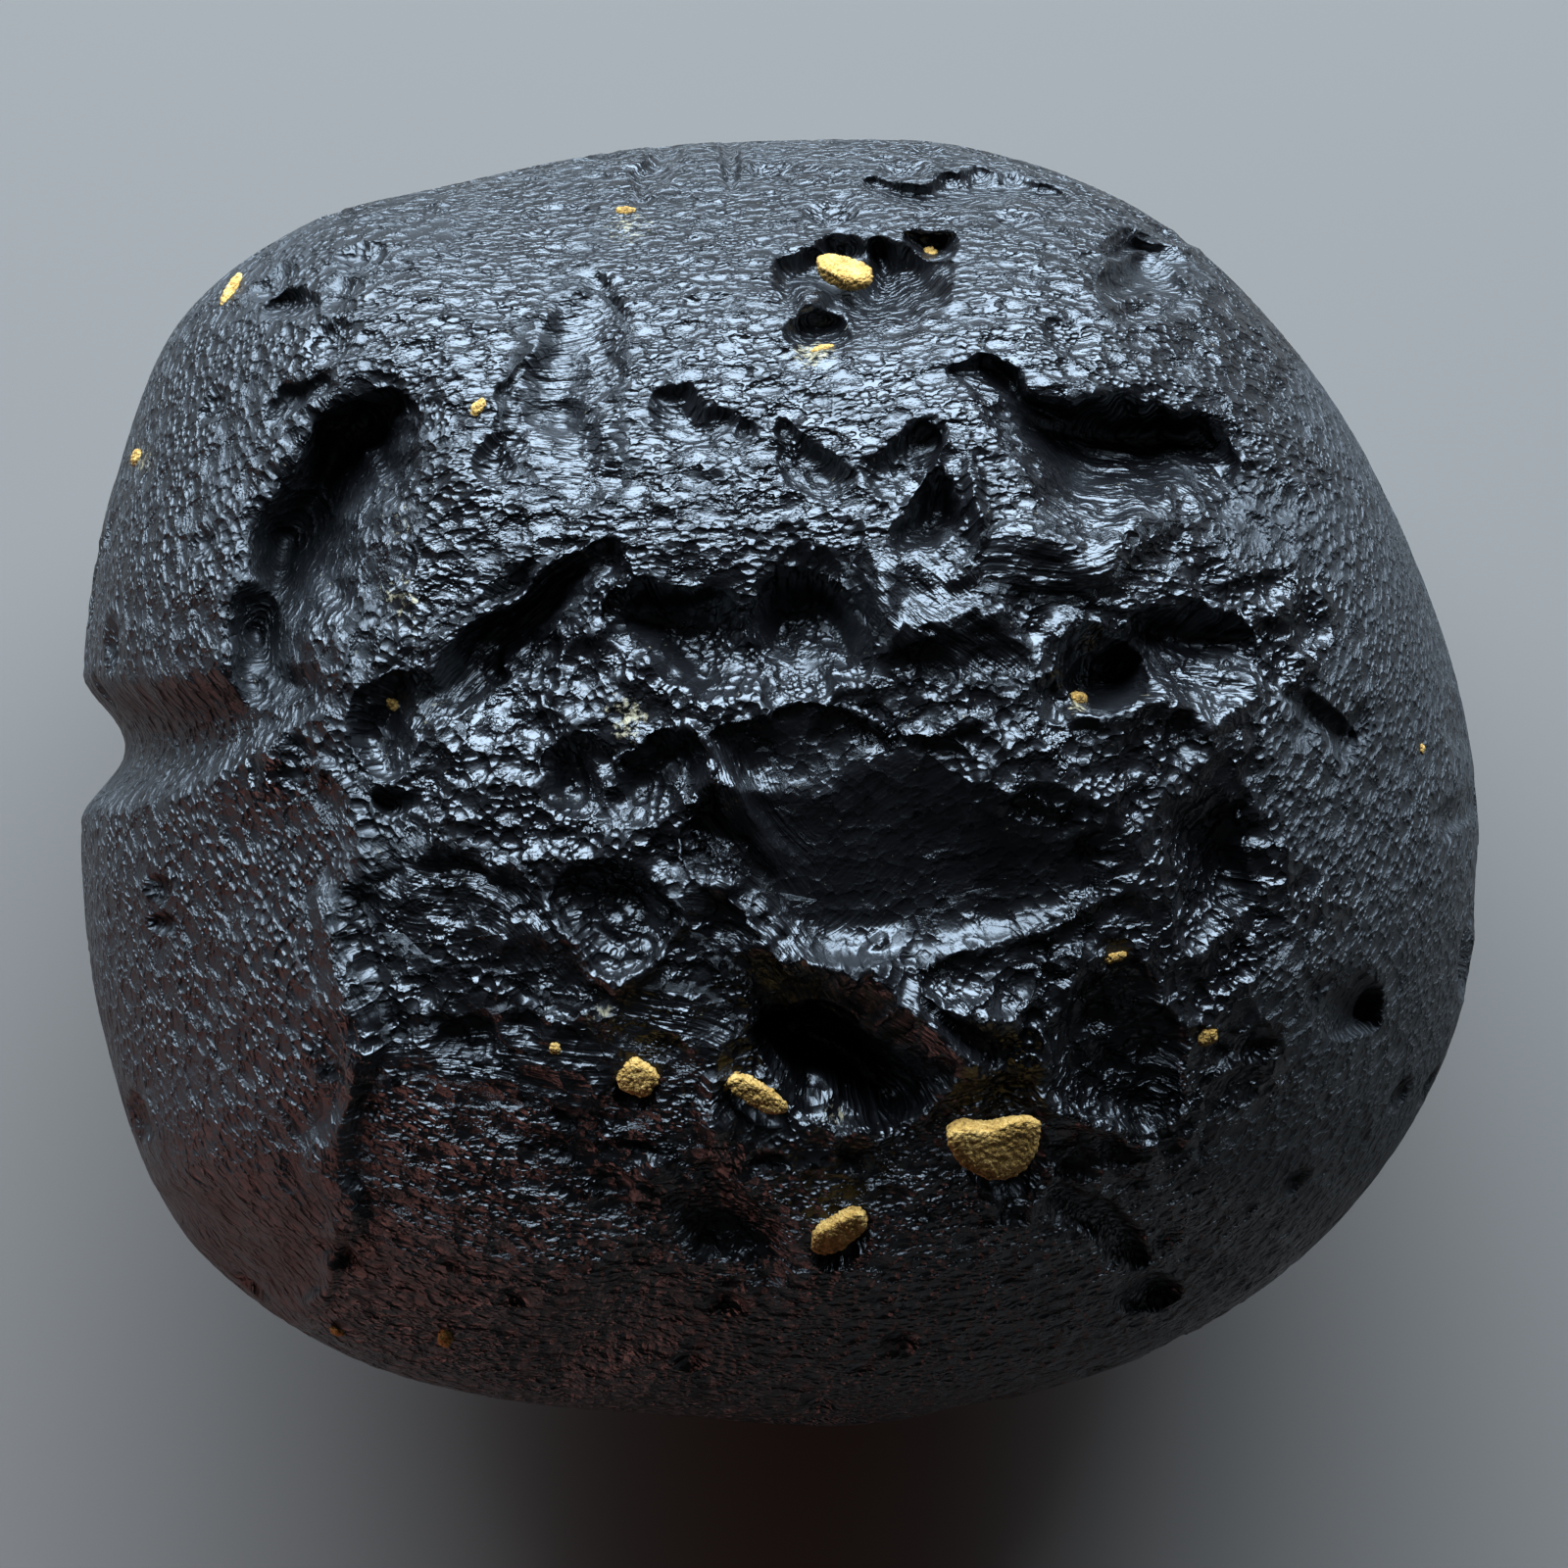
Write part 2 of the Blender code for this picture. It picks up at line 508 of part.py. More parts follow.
def worn_flat(obj):
    """Cuts the belly off level, which makes the resting face."""
    width, height = WEAR_BLOCK
    bpy.ops.mesh.primitive_cube_add(size=1, location=(0, 0, -height / 2 * MM))
    block = bpy.context.object
    block.name = "wear_cutter"
    block.scale = (width * MM, width * MM, height * MM)
    block.hide_render = True
    block.display_type = "WIRE"
    wear = obj.modifiers.new("wear", "BOOLEAN")
    wear.operation = "DIFFERENCE"
    wear.object = block


def make_glass(mesh, material):
    to_metres(mesh)
    mesh.materials.append(material)
    mesh.shade_smooth()
    glass = bpy.data.objects.new("tektite", mesh)
    bpy.context.collection.objects.link(glass)
    thinned(glass)
    worn_flat(glass)


def plug_frame(plug, smooth, normals):
    """Where a plug belongs on the uncarved lump, and the directions along, across and out of it."""
    away = np.linalg.norm(as_seen(smooth) - (plug.x, plug.y), axis=1)
    nearest = np.argmin(np.where(smooth[:, 2] > 0, away, np.inf))
    outward = normals[nearest]
    along = np.array((1.0, 0.0, 0.0)) - outward * outward[0]
    along /= np.linalg.norm(along)
    return smooth[nearest], np.array((along, np.cross(outward, along), outward))


def rest_height(corners, skin):
    """How far to lift corners so that the lowest stands clear of the skin; the third axis is up."""
    gaps = []
    for corner in corners:
        beside = np.hypot(*(skin[:, :2] - corner[:2]).T)
        gaps.append(corner[2] - skin[np.argmin(beside), 2])
    return PLUG_CLEARANCE - min(gaps)


def plug_corners(number, plug, ball):
    """The corners of a ball, moved to where a plug has them, in its own frame."""
    rng = np.random.default_rng(number)
    level = np.hypot(ball[:, 0], ball[:, 1])
    angles = np.arctan2(ball[:, 1], ball[:, 0])
    away = level**PLUG_FULLNESS * plan_radius(plug, angles)
    half_height = plug.depth * PLUG_THICKNESS / 2
    height = np.sign(ball[:, 2]) * np.abs(ball[:, 2]) ** PLUG_FULLNESS * half_height
    corners = np.stack([away * np.cos(angles), away * np.sin(angles), height], axis=1)
    return corners * (1 - PLUG_ROUGHNESS * rng.uniform(0, 1, len(corners))[:, None])


def make_plug(number, plug, place, axes, skin, material):
    """A lump of soil lowered onto its pocket's floor, and held just clear of it."""
    lump = bmesh.new()
    bmesh.ops.create_icosphere(lump, subdivisions=PLUG_DETAIL, radius=1.0)
    corners = plug_corners(number, plug, np.array([vertex.co[:] for vertex in lump.verts]))
    local_skin = (skin - place) @ axes.T
    local_skin = local_skin[np.linalg.norm(local_skin, axis=1) < 2 * max(plug.plan) + 3 * plug.depth]
    corners[:, 2] += rest_height(corners, local_skin)
    for vertex, corner in zip(lump.verts, corners @ axes + place):
        vertex.co = corner
    mesh = bpy.data.meshes.new(f"soil_plug_{number}")
    lump.to_mesh(mesh)
    lump.free()
    to_metres(mesh)
    mesh.materials.append(material)
    mesh.shade_smooth()
    soil = bpy.data.objects.new(f"soil_plug_{number}", mesh)
    bpy.context.collection.objects.link(soil)


def main():
    clear_scene()
    glass_material = plain_material("natural glass", GLASS_COLOUR, GLASS_ROUGHNESS)
    soil_material = plain_material("dried soil", SOIL_COLOUR, SOIL_ROUGHNESS)
    mesh, smooth, normals = make_skin()
    skin = coordinates(mesh)
    make_glass(mesh, glass_material)
    for number, plug in enumerate(SOIL_PLUGS, start=1):
        place, axes = plug_frame(plug, smooth, normals)
        make_plug(number, plug, place, axes, skin, soil_material)


main()
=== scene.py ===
# %% [markdown]
# # A tektite, a lump of black impact glass
# The real thing is natural glass, thrown out molten by an impact, frozen in the air, and then etched by
# wet soil for most of a million years. What a visitor sees is the etching: hollows, slanting grooves,
# ringed pits, and a skin of pits as fine as sand between them. The stone lies on its back with the most
# deeply pitted face up. This first cell loads the measured solid.

# %% The frame
import math
from collections import namedtuple

import bmesh
import bpy
import numpy as np
from mathutils import Matrix, Vector
from mathutils.bvhtree import BVHTree


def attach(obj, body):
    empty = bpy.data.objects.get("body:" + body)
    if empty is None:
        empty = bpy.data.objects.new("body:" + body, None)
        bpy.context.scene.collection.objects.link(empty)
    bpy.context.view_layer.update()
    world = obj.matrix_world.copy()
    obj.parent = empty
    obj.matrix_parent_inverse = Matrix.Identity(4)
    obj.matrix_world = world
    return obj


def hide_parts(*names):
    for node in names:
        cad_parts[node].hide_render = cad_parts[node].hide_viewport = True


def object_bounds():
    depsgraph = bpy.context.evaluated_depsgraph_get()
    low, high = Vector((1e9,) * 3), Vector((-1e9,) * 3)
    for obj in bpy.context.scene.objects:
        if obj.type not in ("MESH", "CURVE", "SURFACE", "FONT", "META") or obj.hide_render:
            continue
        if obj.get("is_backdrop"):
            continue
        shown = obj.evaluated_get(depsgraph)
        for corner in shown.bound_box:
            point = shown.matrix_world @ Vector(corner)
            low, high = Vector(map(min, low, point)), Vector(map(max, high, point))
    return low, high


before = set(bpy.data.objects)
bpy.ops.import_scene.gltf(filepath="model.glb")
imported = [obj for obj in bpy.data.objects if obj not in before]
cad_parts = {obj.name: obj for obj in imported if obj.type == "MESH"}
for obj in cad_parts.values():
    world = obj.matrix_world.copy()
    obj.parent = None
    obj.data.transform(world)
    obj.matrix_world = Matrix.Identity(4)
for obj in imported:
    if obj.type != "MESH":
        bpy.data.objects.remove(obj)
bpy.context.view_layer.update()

MM = 0.001

# %% [markdown]
# ## The form of the lump
# The solid in the frame has few faces, so its pits are only hinted at. The visible skin is made again from
# the same driving dimensions, but much finer. The body is star-shaped: an outline in polar form gives its
# widest section, and superelliptic sections rise from it to the crown and fall to the belly. All the
# lengths are in millimetres, measured from the middle of the widest section.

# %% Driving dimensions
CROWN_DEPTH = 19.0
BELLY_DEPTH = 16.0
WORN_DEPTH = 0.5
FACE_SQUARENESS = 2.1
BELLY_SQUARENESS = 2.15
CROWN_SHIFT = (0.6, 1.6)
EYE_HEIGHT = 450.0  # marks on the face are laid out as seen from this far above the widest section
WIDEST_Z = BELLY_DEPTH - WORN_DEPTH

OUTLINE = (
    (0, 23.5), (20, 22.75), (40, 22.75), (60, 22.85), (75, 22.45), (90, 21.85),
    (105, 22.25), (120, 23.3), (132, 25.05), (142, 25.75), (155, 25.0), (180, 23.9),
    (200, 24.6), (218, 25.45), (232, 24.45), (245, 23.0), (260, 21.75), (275, 21.9),
    (290, 22.25), (305, 23.15), (320, 23.95), (340, 24.3),
)
SWELLS = (
    (0.55, 34.0, 7, 11),
    (0.16, 11.0, 9, 12),
)
SWELL_FADE = 5.0
WANDERS = (
    (0.38, 9.0, 5, 21),
    (0.16, 3.6, 7, 22),
    (0.06, 1.3, 9, 23),  # the solid does without this one, which frays the rims
)


def outline_radius(angle):
    """The radius of the widest section at each angle in degrees, on a closed Catmull-Rom curve."""
    knots = np.array([a for a, _ in OUTLINE], float)
    radii = np.array([r for _, r in OUTLINE], float)
    count = len(knots)
    knots = np.concatenate([knots - 360, knots, knots + 360])
    radii = np.tile(radii, 3)
    slopes = np.gradient(radii, knots)
    angle = np.mod(angle, 360)
    left = np.clip(np.searchsorted(knots, angle, side="right") - 1, count - 1, 2 * count)
    span = knots[left + 1] - knots[left]
    t = (angle - knots[left]) / span
    return (
        (2 * t**3 - 3 * t**2 + 1) * radii[left]
        + (t**3 - 2 * t**2 + t) * span * slopes[left]
        + (3 * t**2 - 2 * t**3) * radii[left + 1]
        + (t**3 - t**2) * span * slopes[left + 1]
    )


def smooth_body(directions):
    """Points of the uncarved lump along unit directions."""
    x, y, z = directions.T
    outline = outline_radius(np.degrees(np.arctan2(y, x)))
    above = z > 0
    depth = np.where(above, CROWN_DEPTH, BELLY_DEPTH)
    power = np.where(above, FACE_SQUARENESS, BELLY_SQUARENESS)
    reach = ((np.hypot(x, y) / outline) ** power + (np.abs(z) / depth) ** power) ** (-1 / power)
    points = directions * reach[:, None]
    lean = np.where(above, (points[:, 2] / CROWN_DEPTH) ** 2, 0.0)
    points[:, 0] += lean * CROWN_SHIFT[0]
    points[:, 1] += lean * CROWN_SHIFT[1]
    return points


def waves(points, length, count, seed):
    """A sum of sine waves in seeded directions, about 1 high."""
    rng = np.random.default_rng(seed)
    directions = rng.normal(size=(count, points.shape[1]))
    directions /= np.linalg.norm(directions, axis=1)[:, None]
    directions *= 2 * math.pi / length * rng.uniform(0.7, 1.4, count)[:, None]
    phases = rng.uniform(0, 2 * math.pi, count)
    return np.sin(points @ directions.T + phases).sum(axis=1) / math.sqrt(count / 2)


def layered(points, kinds):
    """Waves of several kinds added up. Each kind has a height, a length, a count and a seed."""
    return sum(height * waves(points, length, count, seed) for height, length, count, seed in kinds)


def swell(points):
    """How far the skin swells: nothing at the widest section, whose outline stays as given."""
    share = points[:, 2] ** 2 / (points[:, 2] ** 2 + SWELL_FADE**2)
    return share * layered(points, SWELLS)


def wander(seen, kinds=WANDERS):
    """Places seen from above, each moved a little, so that plain ovals get natural outlines."""
    moved = seen.copy()
    for reach, length, count, seed in kinds:
        moved[:, 0] += reach * waves(seen, length, count, seed)
        moved[:, 1] += reach * waves(seen, length, count, seed + 100)
    return moved


print("outline:", len(OUTLINE), "radii, body", CROWN_DEPTH + WIDEST_Z, "mm high before carving")

# %% [markdown]
# ## The carved forms
# Each hollow, groove and ridge is one row: where it is as seen from above, how long and wide it is, how
# it is turned, and how deep it goes. A sculpted mesh could hold the same shapes, but rows can be read and
# changed one at a time, and the solid in the frame uses the same ones.

# %% Hollows of the face
Hollow = namedtuple("Hollow", "x y length width turn depth rim lip", defaults=(0.0,))


def rows(kind, *table):
    """The rows of a table, each with its values by name."""
    return [kind(*row) for row in table]


# The rim of a form, as a power: the higher it is, the softer the rim.
SOFT = 2.0
CRISP = 1.0
STEPPED = 0.5

BROAD_DELLS = rows(
    Hollow,
    (-15.2, 8.8, 13.5, 7.0, 64, 1.2, SOFT),  # around the left cavity
    (12.0, 11.0, 12.5, 6.6, -20, 1.0, SOFT),  # around the upper right trough
    (-1.2, 5.2, 12.0, 5.4, 4, 0.9, SOFT),  # the band of hollows above the bowl
    (13.2, 4.0, 9.5, 5.2, 0, 0.8, SOFT),  # around the right cavity
    (-8.5, 4.0, 11.0, 5.0, 36, 0.7, SOFT),  # around the slanting groove
    (2.6, 16.4, 9.0, 4.6, -6, 0.7, SOFT),  # around the upper cavity
    (-19.5, -5.5, 9.0, 15.0, 0, 0.5, SOFT),  # the even flank on the left
    (-18.5, -17.0, 7.0, 9.0, -35, 0.7, SOFT),  # the lower left facet
    (14.8, -2.4, 6.0, 8.0, 10, 0.8, SOFT),  # the dark dell on the right
    (1.5, -9.0, 10.0, 6.0, -4, 0.9, SOFT),  # around the cave
    (-6.3, -18.6, 8.0, 4.4, 12, 0.5, SOFT),  # the smooth dell at the lower edge
)

HOLLOWS = rows(
    Hollow,
    (4.1, -2.3, 12.6, 7.4, -12, 1.6, STEPPED, -0.45),  # the great bowl in the middle
    (0.3, 0.8, 6.8, 4.0, -16, 1.2, STEPPED, -0.3),  # its upper left corner
    (11.1, 11.2, 10.6, 5.0, -20, 2.0, CRISP, 0.9),  # upper right trough, its slope
    (-14.1, 10.9, 4.0, 3.2, 60, 1.9, CRISP, 0.5),  # left cavity, upper pit
    (-15.8, 8.2, 9.2, 4.4, 64, 2.5, CRISP, 0.8),  # left cavity, middle
    (-17.7, 5.2, 6.0, 3.4, 78, 2.3, CRISP, 0.9),  # left cavity, foot
    (4.0, 16.8, 4.6, 2.9, 8, 1.5, CRISP, 0.5),  # upper cavity, right half
    (0.9, 17.4, 3.8, 2.6, 10, 1.0, CRISP, 0.5),  # upper cavity, left half
    (1.0, 15.2, 2.8, 1.6, -8, 1.1, CRISP),  # pit under the upper cavity
    (5.4, 18.3, 2.2, 1.4, 0, 1.1, CRISP),  # pit at its right end
    (3.5, 10.9, 2.3, 1.8, 0, 1.1, CRISP),  # round pit in the middle of the upper half
    (4.4, 8.9, 1.8, 2.9, 12, 1.9, CRISP),  # the dark slot below it
    (0.7, 11.1, 1.9, 2.3, 10, 0.9, CRISP),
    (2.5, 10.9, 1.5, 1.5, 0, 0.6, CRISP),
    (-3.0, 12.6, 3.0, 1.7, -8, 0.9, CRISP),
    (-1.4, 12.0, 1.3, 1.0, 0, 0.5, CRISP),
    (-3.3, 5.3, 4.6, 3.2, -6, 1.7, CRISP, 0.6),  # left of the two dark hollows
    (1.0, 4.9, 4.6, 3.3, -6, 1.9, CRISP, 0.6),  # right of the two dark hollows
    (11.1, 3.3, 3.2, 3.2, 0, 2.5, CRISP, 0.3),  # right cavity, the round hole
    (13.8, 4.8, 5.4, 2.8, 2, 1.3, CRISP, 0.6),  # right cavity, its long part
    (9.6, 2.6, 2.1, 1.8, 0, 1.3, CRISP),  # right cavity, the lesser hole
    (-13.8, 2.4, 2.7, 1.8, 0, 1.3, CRISP),  # pits at the foot of the slanting groove
    (-13.4, 0.5, 2.0, 1.4, 0, 0.9, CRISP),
    (-9.5, 7.3, 1.5, 1.1, 8, 0.6, CRISP),  # above the slanting groove
    (-9.4, 11.2, 1.7, 1.3, 0, 0.7, CRISP),
    (-7.0, 0.3, 2.7, 2.4, 0, 1.3, CRISP),  # left of the twin pits
    (-4.5, 0.1, 2.7, 2.7, 0, 1.3, CRISP),  # right of the twin pits
    (-5.7, -4.0, 4.4, 4.2, 0, 0.7, CRISP),  # the ringed pit on the left
    (1.5, -9.6, 5.2, 3.8, -6, 2.5, CRISP, 0.6),  # the cave
    (11.2, -9.1, 5.1, 5.3, 0, 1.0, CRISP),  # the great ringed pit on the right
    (-1.2, -15.2, 4.2, 4.4, 0, 0.9, SOFT),  # the round dell near the lower edge
    (10.6, -15.3, 3.0, 1.6, -4, 0.7, CRISP),
    (12.4, -16.6, 2.8, 1.4, -10, 0.6, CRISP),
    (19.2, -7.8, 2.2, 3.2, -10, 0.8, CRISP),  # pits on the right flank
    (18.0, 2.2, 1.2, 3.6, 28, 0.7, CRISP),
    (14.6, -1.7, 2.8, 4.0, 10, 1.0, CRISP),
    (22.9, 2.4, 1.2, 1.8, 0, 0.5, CRISP),
    (23.1, -0.6, 1.1, 2.4, 0, 0.5, CRISP),
    (-16.8, 16.8, 2.6, 1.3, 12, 0.6, CRISP),  # pits on the upper left shoulder
    (-16.9, 12.9, 2.0, 1.3, 30, 0.7, CRISP),
    (-20.9, -14.6, 1.6, 4.2, 38, 0.7, CRISP),  # pits on the lower left edge
    (7.6, -6.3, 3.0, 2.2, 20, 0.8, CRISP),
)

KNOBS = rows(
    Hollow,
    (0.6, 16.7, 2.3, 2.0, 0, 1.2, SOFT),  # the rounded knob inside the upper cavity
    (-2.7, -11.0, 2.6, 1.4, -40, 0.6, SOFT),  # blisters below the cave
    (2.0, -11.8, 2.6, 1.5, 10, 0.5, SOFT),
    (-3.9, -13.3, 2.2, 1.2, -15, 0.5, SOFT),
)

print("face:", len(BROAD_DELLS), "dells,", len(HOLLOWS), "hollows and", len(KNOBS), "knobs")

# %% [markdown]
# Grooves and ridges follow a route of a few points. They are narrower and shallower at their ends, so they
# run out into the skin as etched grooves do, where a swept tube would stop short.

# %% Grooves and ridges of the face
Channel = namedtuple("Channel", "route width depth rim")

END_WIDTH = 0.45  # at the ends, in parts of the full width
END_DEPTH = 0.4

CHANNELS = rows(
    Channel,
    (((6.0, 13.9), (9.8, 13.2), (13.1, 11.2), (15.3, 9.9)), 1.9, 2.0, CRISP),  # upper right trough
    (((-6.4, 7.0), (-9.4, 4.9), (-12.8, 2.6)), 2.5, 1.8, CRISP),  # slanting groove
    (((-6.5, 16.8), (-7.3, 13.2), (-7.6, 9.4)), 4.4, 1.0, SOFT),  # rippled groove, upper left
    (((-9.0, 14.2), (-9.3, 13.0), (-8.8, 11.8), (-7.8, 10.4)), 0.9, 0.5, CRISP),  # its left rim
    (((11.2, 18.2), (13.6, 16.2)), 2.6, 0.9, CRISP),  # ribbed groove, upper right
    (((3.2, 20.3), (6.2, 20.4), (9.3, 19.5)), 1.3, 0.8, CRISP),  # crescent near the upper edge
    (((-4.7, 21.8), (-4.4, 20.0)), 1.8, 0.6, SOFT),  # grooves that nick the upper edge
    (((-1.6, 22.8), (-1.4, 20.8)), 1.4, 0.7, SOFT),
    (((-12.5, -2.7), (-9.0, -4.6), (-6.4, -6.2)), 1.2, 0.35, SOFT),  # long scratch on the left
)

# The channel that crosses the left edge runs on down the flank, so it nicks the outline.
EDGE_CHANNEL = Channel(((-32.0, 0.6), (-21.0, 1.5), (-16.4, 3.2)), 5.0, 1.5, SOFT)

EDGE_CHANNEL_FOOT = -11.0  # below the widest section, where it starts
EDGE_CHANNEL_FADE = 9.0  # and over what height it deepens

LEFT_CREASE = ((-17.5, 1.2), (-15.6, 0.2), (-14.2, -2.4), (-14.9, -5.4), (-15.1, -13.6), (-15.9, -17.4))

RIDGES = rows(
    Channel,
    (LEFT_CREASE, 2.2, 0.6, SOFT),  # the crease that bounds the even flank on the left
    (((-4.0, 2.0), (-1.2, -0.9), (0.0, -2.9)), 2.4, 1.3, SOFT),  # the blade beside the bowl
    (((-2.0, -3.5), (-0.7, -5.6), (3.6, -6.4)), 1.9, 0.9, SOFT),
    (((3.8, -5.4), (4.7, -8.1), (5.7, -9.5), (3.9, -10.9)), 2.6, 1.2, SOFT),  # between cave and ring
    (((5.9, -7.5), (7.3, -8.1), (8.6, -7.4)), 1.7, 0.8, SOFT),
    (((3.2, 8.0), (4.8, 5.2), (8.4, 6.4)), 2.4, 0.7, SOFT),
    (((5.9, 10.4), (6.3, 8.8), (6.7, 7.4)), 1.4, 0.7, SOFT),  # pillar beside the dark slot
    (((7.0, 8.0), (11.0, 8.4), (14.6, 9.2)), 2.2, 0.6, SOFT),  # sill under the upper right trough
    (((10.4, 1.6), (14.0, 2.4), (16.6, 3.6)), 2.2, 0.6, SOFT),  # sill under the right cavity
    (((9.0, -7.6), (8.4, -9.4), (9.2, -11.2), (11.4, -12.0), (13.4, -11.6)), 1.2, 0.5, SOFT),
    (((-7.8, -5.0), (-6.6, -6.2), (-4.4, -5.8), (-3.6, -4.2)), 1.1, 0.4, SOFT),
)

print("grooves:", len(CHANNELS) + 1, "and ridges:", len(RIDGES))

# %% [markdown]
# The flanks and the belly aren't seen from the front, but a shelf shows them. They get the same kind of
# marks, at an azimuth counter-clockwise from +X and a latitude that is below 0 towards the belly. The soil
# comes last: each plug has a pocket of its own.

# %% Marks of the flanks, and the soil
SideHollow = namedtuple("SideHollow", "azimuth latitude length width turn depth rim")
Plug = namedtuple("Plug", "x y depth plan")

SIDE_HOLLOWS = rows(
    SideHollow,
    (-62, -18, 9.0, 5.2, 20, 1.4, SOFT),
    (-88, -30, 5.4, 3.6, -35, 1.2, CRISP),
    (-20, -34, 8.2, 4.8, 60, 1.5, SOFT),
    (8, -22, 4.6, 3.8, 0, 1.2, CRISP),
    (34, -26, 10.5, 3.6, -30, 1.5, SOFT),
    (58, -12, 4.6, 3.2, 30, 1.1, CRISP),
    (84, -24, 8.4, 4.2, 80, 1.3, SOFT),
    (108, -8, 4.2, 3.0, 10, 1.0, CRISP),
    (126, -30, 6.6, 4.6, -20, 1.5, CRISP),
    (152, -20, 9.6, 3.4, 52, 1.4, SOFT),
    (186, -34, 5.0, 3.6, 15, 1.2, CRISP),
    (208, -14, 7.6, 4.4, -50, 1.3, SOFT),
    (232, -32, 5.6, 4.8, 0, 1.4, CRISP),
    (250, -48, 8.6, 3.2, 40, 1.2, SOFT),
    (300, -52, 5.2, 4.2, 0, 1.2, CRISP),
    (18, -54, 6.0, 4.4, 30, 1.3, CRISP),
    (66, -56, 9.4, 3.2, -60, 1.2, SOFT),
    (110, -58, 4.8, 3.8, 0, 1.1, CRISP),
    (160, -56, 6.4, 4.2, 20, 1.3, CRISP),
    (346, 4, 4.4, 3.0, 70, 0.9, CRISP),
    (272, 6, 6.8, 3.4, 8, 1.0, SOFT),
)

# Lesser pits: number, least and greatest width, depth in widths, how high they reach (1 is the crown), seed.
STREWN_PITS = (
    (95, 1.8, 3.6, 0.2, 0.1, 31),
    (150, 1.2, 2.0, 0.22, 1.0, 133),
)

# A plug's plan is how far its edge lies from its middle, every 30 degrees counter-clockwise from +X.
SOIL_PLUGS = rows(
    Plug,
    (7.4, -12.6, 1.8, (1.3, 1.55, 1.05, 0.8, 0.85, 2.0, 1.4, 1.15, 1.1, 1.25, 1.4, 1.35)),  # the largest
    (2.0, -15.6, 1.5, (0.6, 1.0, 1.2, 0.75, 0.55, 0.7, 0.8, 1.05, 1.0, 0.65, 0.5, 0.5)),
    (2.0, 17.9, 1.5, (0.95, 0.65, 0.6, 0.6, 0.75, 0.9, 0.7, 0.5, 0.5, 0.6, 0.9, 1.05)),
    (-1.0, -10.9, 1.3, (0.6, 0.4, 0.35, 0.4, 0.75, 1.15, 0.6, 0.4, 0.35, 0.4, 0.7, 1.15)),
    (-5.0, -10.3, 1.3, (0.65, 0.6, 0.5, 0.65, 0.6, 0.55, 0.65, 0.7, 0.55, 0.6, 0.65, 0.5)),
)
POCKET_MARGIN = 0.2  # the solid has 0.75, which leaves its plugs clear of the glass
POCKET_SHARE = 0.5  # and its pockets are as deep as the plugs need
print("flanks and belly:", len(SIDE_HOLLOWS), "hollows,", sum(row[0] for row in STREWN_PITS), "strewn pits")

# %% [markdown]
# ## From rows to relief
# Every form has the same kind of cross-section, a bowl that ends at a soft or a crisp rim. Where hollows
# and grooves overlap, the deepest wins. Broad dells are added, because the other marks lie inside them.

# %% Relief of the face


def profile(reach, rim):
    """1 in the middle of a form, 0 from its rim outwards."""
    return np.clip(1 - reach**2, 0, None) ** rim


def as_seen(points):
    """x and y of each point as seen from the eye above the face."""
    return points[:, :2] * (EYE_HEIGHT / (EYE_HEIGHT - points[:, 2]))[:, None]


def turned(seen, x, y, turn):
    """Distances along and across a direction from a place."""
    angle = math.radians(turn)
    dx, dy = seen[:, 0] - x, seen[:, 1] - y
    return dx * math.cos(angle) + dy * math.sin(angle), dy * math.cos(angle) - dx * math.sin(angle)


def hollowed(seen, form):
    """How deep one oval form goes at each place."""
    along, across = turned(seen, form.x, form.y, form.turn)
    along, across = along * 2 / form.length, across * 2 / form.width
    depth = form.depth * profile(np.hypot(along, across), form.rim)
    return depth * (1 + form.lip * np.clip(across, -1, 1))


def beside_route(seen, form):
    """How far each place is from a channel's centreline, where its rim is at 1, and how far along it."""
    route = np.array(form.route, float)
    runs = np.diff(route, axis=0)
    lengths = np.linalg.norm(runs, axis=1)
    behind = np.concatenate([[0.0], np.cumsum(lengths)])
    nearest = np.full(len(seen), np.inf)
    share = np.zeros(len(seen))
    for start, run, length, before in zip(route, runs, lengths, behind):
        t = np.clip((seen - start) @ run / length**2, 0, 1)
        away = np.linalg.norm(seen - start - t[:, None] * run, axis=1)
        closer = away < nearest
        nearest[closer] = away[closer]
        share[closer] = ((before + t * length) / behind[-1])[closer]
    width = form.width * (END_WIDTH + (1 - END_WIDTH) * np.sin(math.pi * share))
    return nearest * 2 / width, share


def grooved(seen, form):
    """How deep one channel goes at each place, or how high one ridge stands. It is less at the ends."""
    reach, share = beside_route(seen, form)
    depth = form.depth * (END_DEPTH + (1 - END_DEPTH) * np.sin(math.pi * share))
    return depth * profile(reach, form.rim)


def pocketed(seen, plug):
    """How deep a plug's pocket goes at each place. It follows the plug's plan, a margin outside it."""
    dx, dy = seen[:, 0] - plug.x, seen[:, 1] - plug.y
    plan = plug.plan + plug.plan[:1]
    angles = np.arctan2(dy, dx) % (2 * math.pi)
    edge = np.interp(angles, np.linspace(0, 2 * math.pi, len(plan)), plan) + POCKET_MARGIN
    return plug.depth * POCKET_SHARE * profile(np.hypot(dx, dy) / edge, CRISP)


def cut_depth(seen):
    """The deepest of the hollows, pockets and channels at each place."""
    moved = wander(seen)
    cuts = [pocketed(seen, plug) for plug in SOIL_PLUGS]
    cuts += [hollowed(moved, form) for form in HOLLOWS]
    cuts += [grooved(moved, form) for form in CHANNELS]
    return np.max(cuts, axis=0)


def face_depth(seen):
    """How deep the face is carved at each place seen from above."""
    moved = wander(seen)
    broad = sum(hollowed(moved, form) for form in BROAD_DELLS)
    raised = [grooved(moved, form) for form in RIDGES]
    raised += [hollowed(moved, form) for form in KNOBS]
    return broad + cut_depth(seen) - np.max(raised, axis=0)


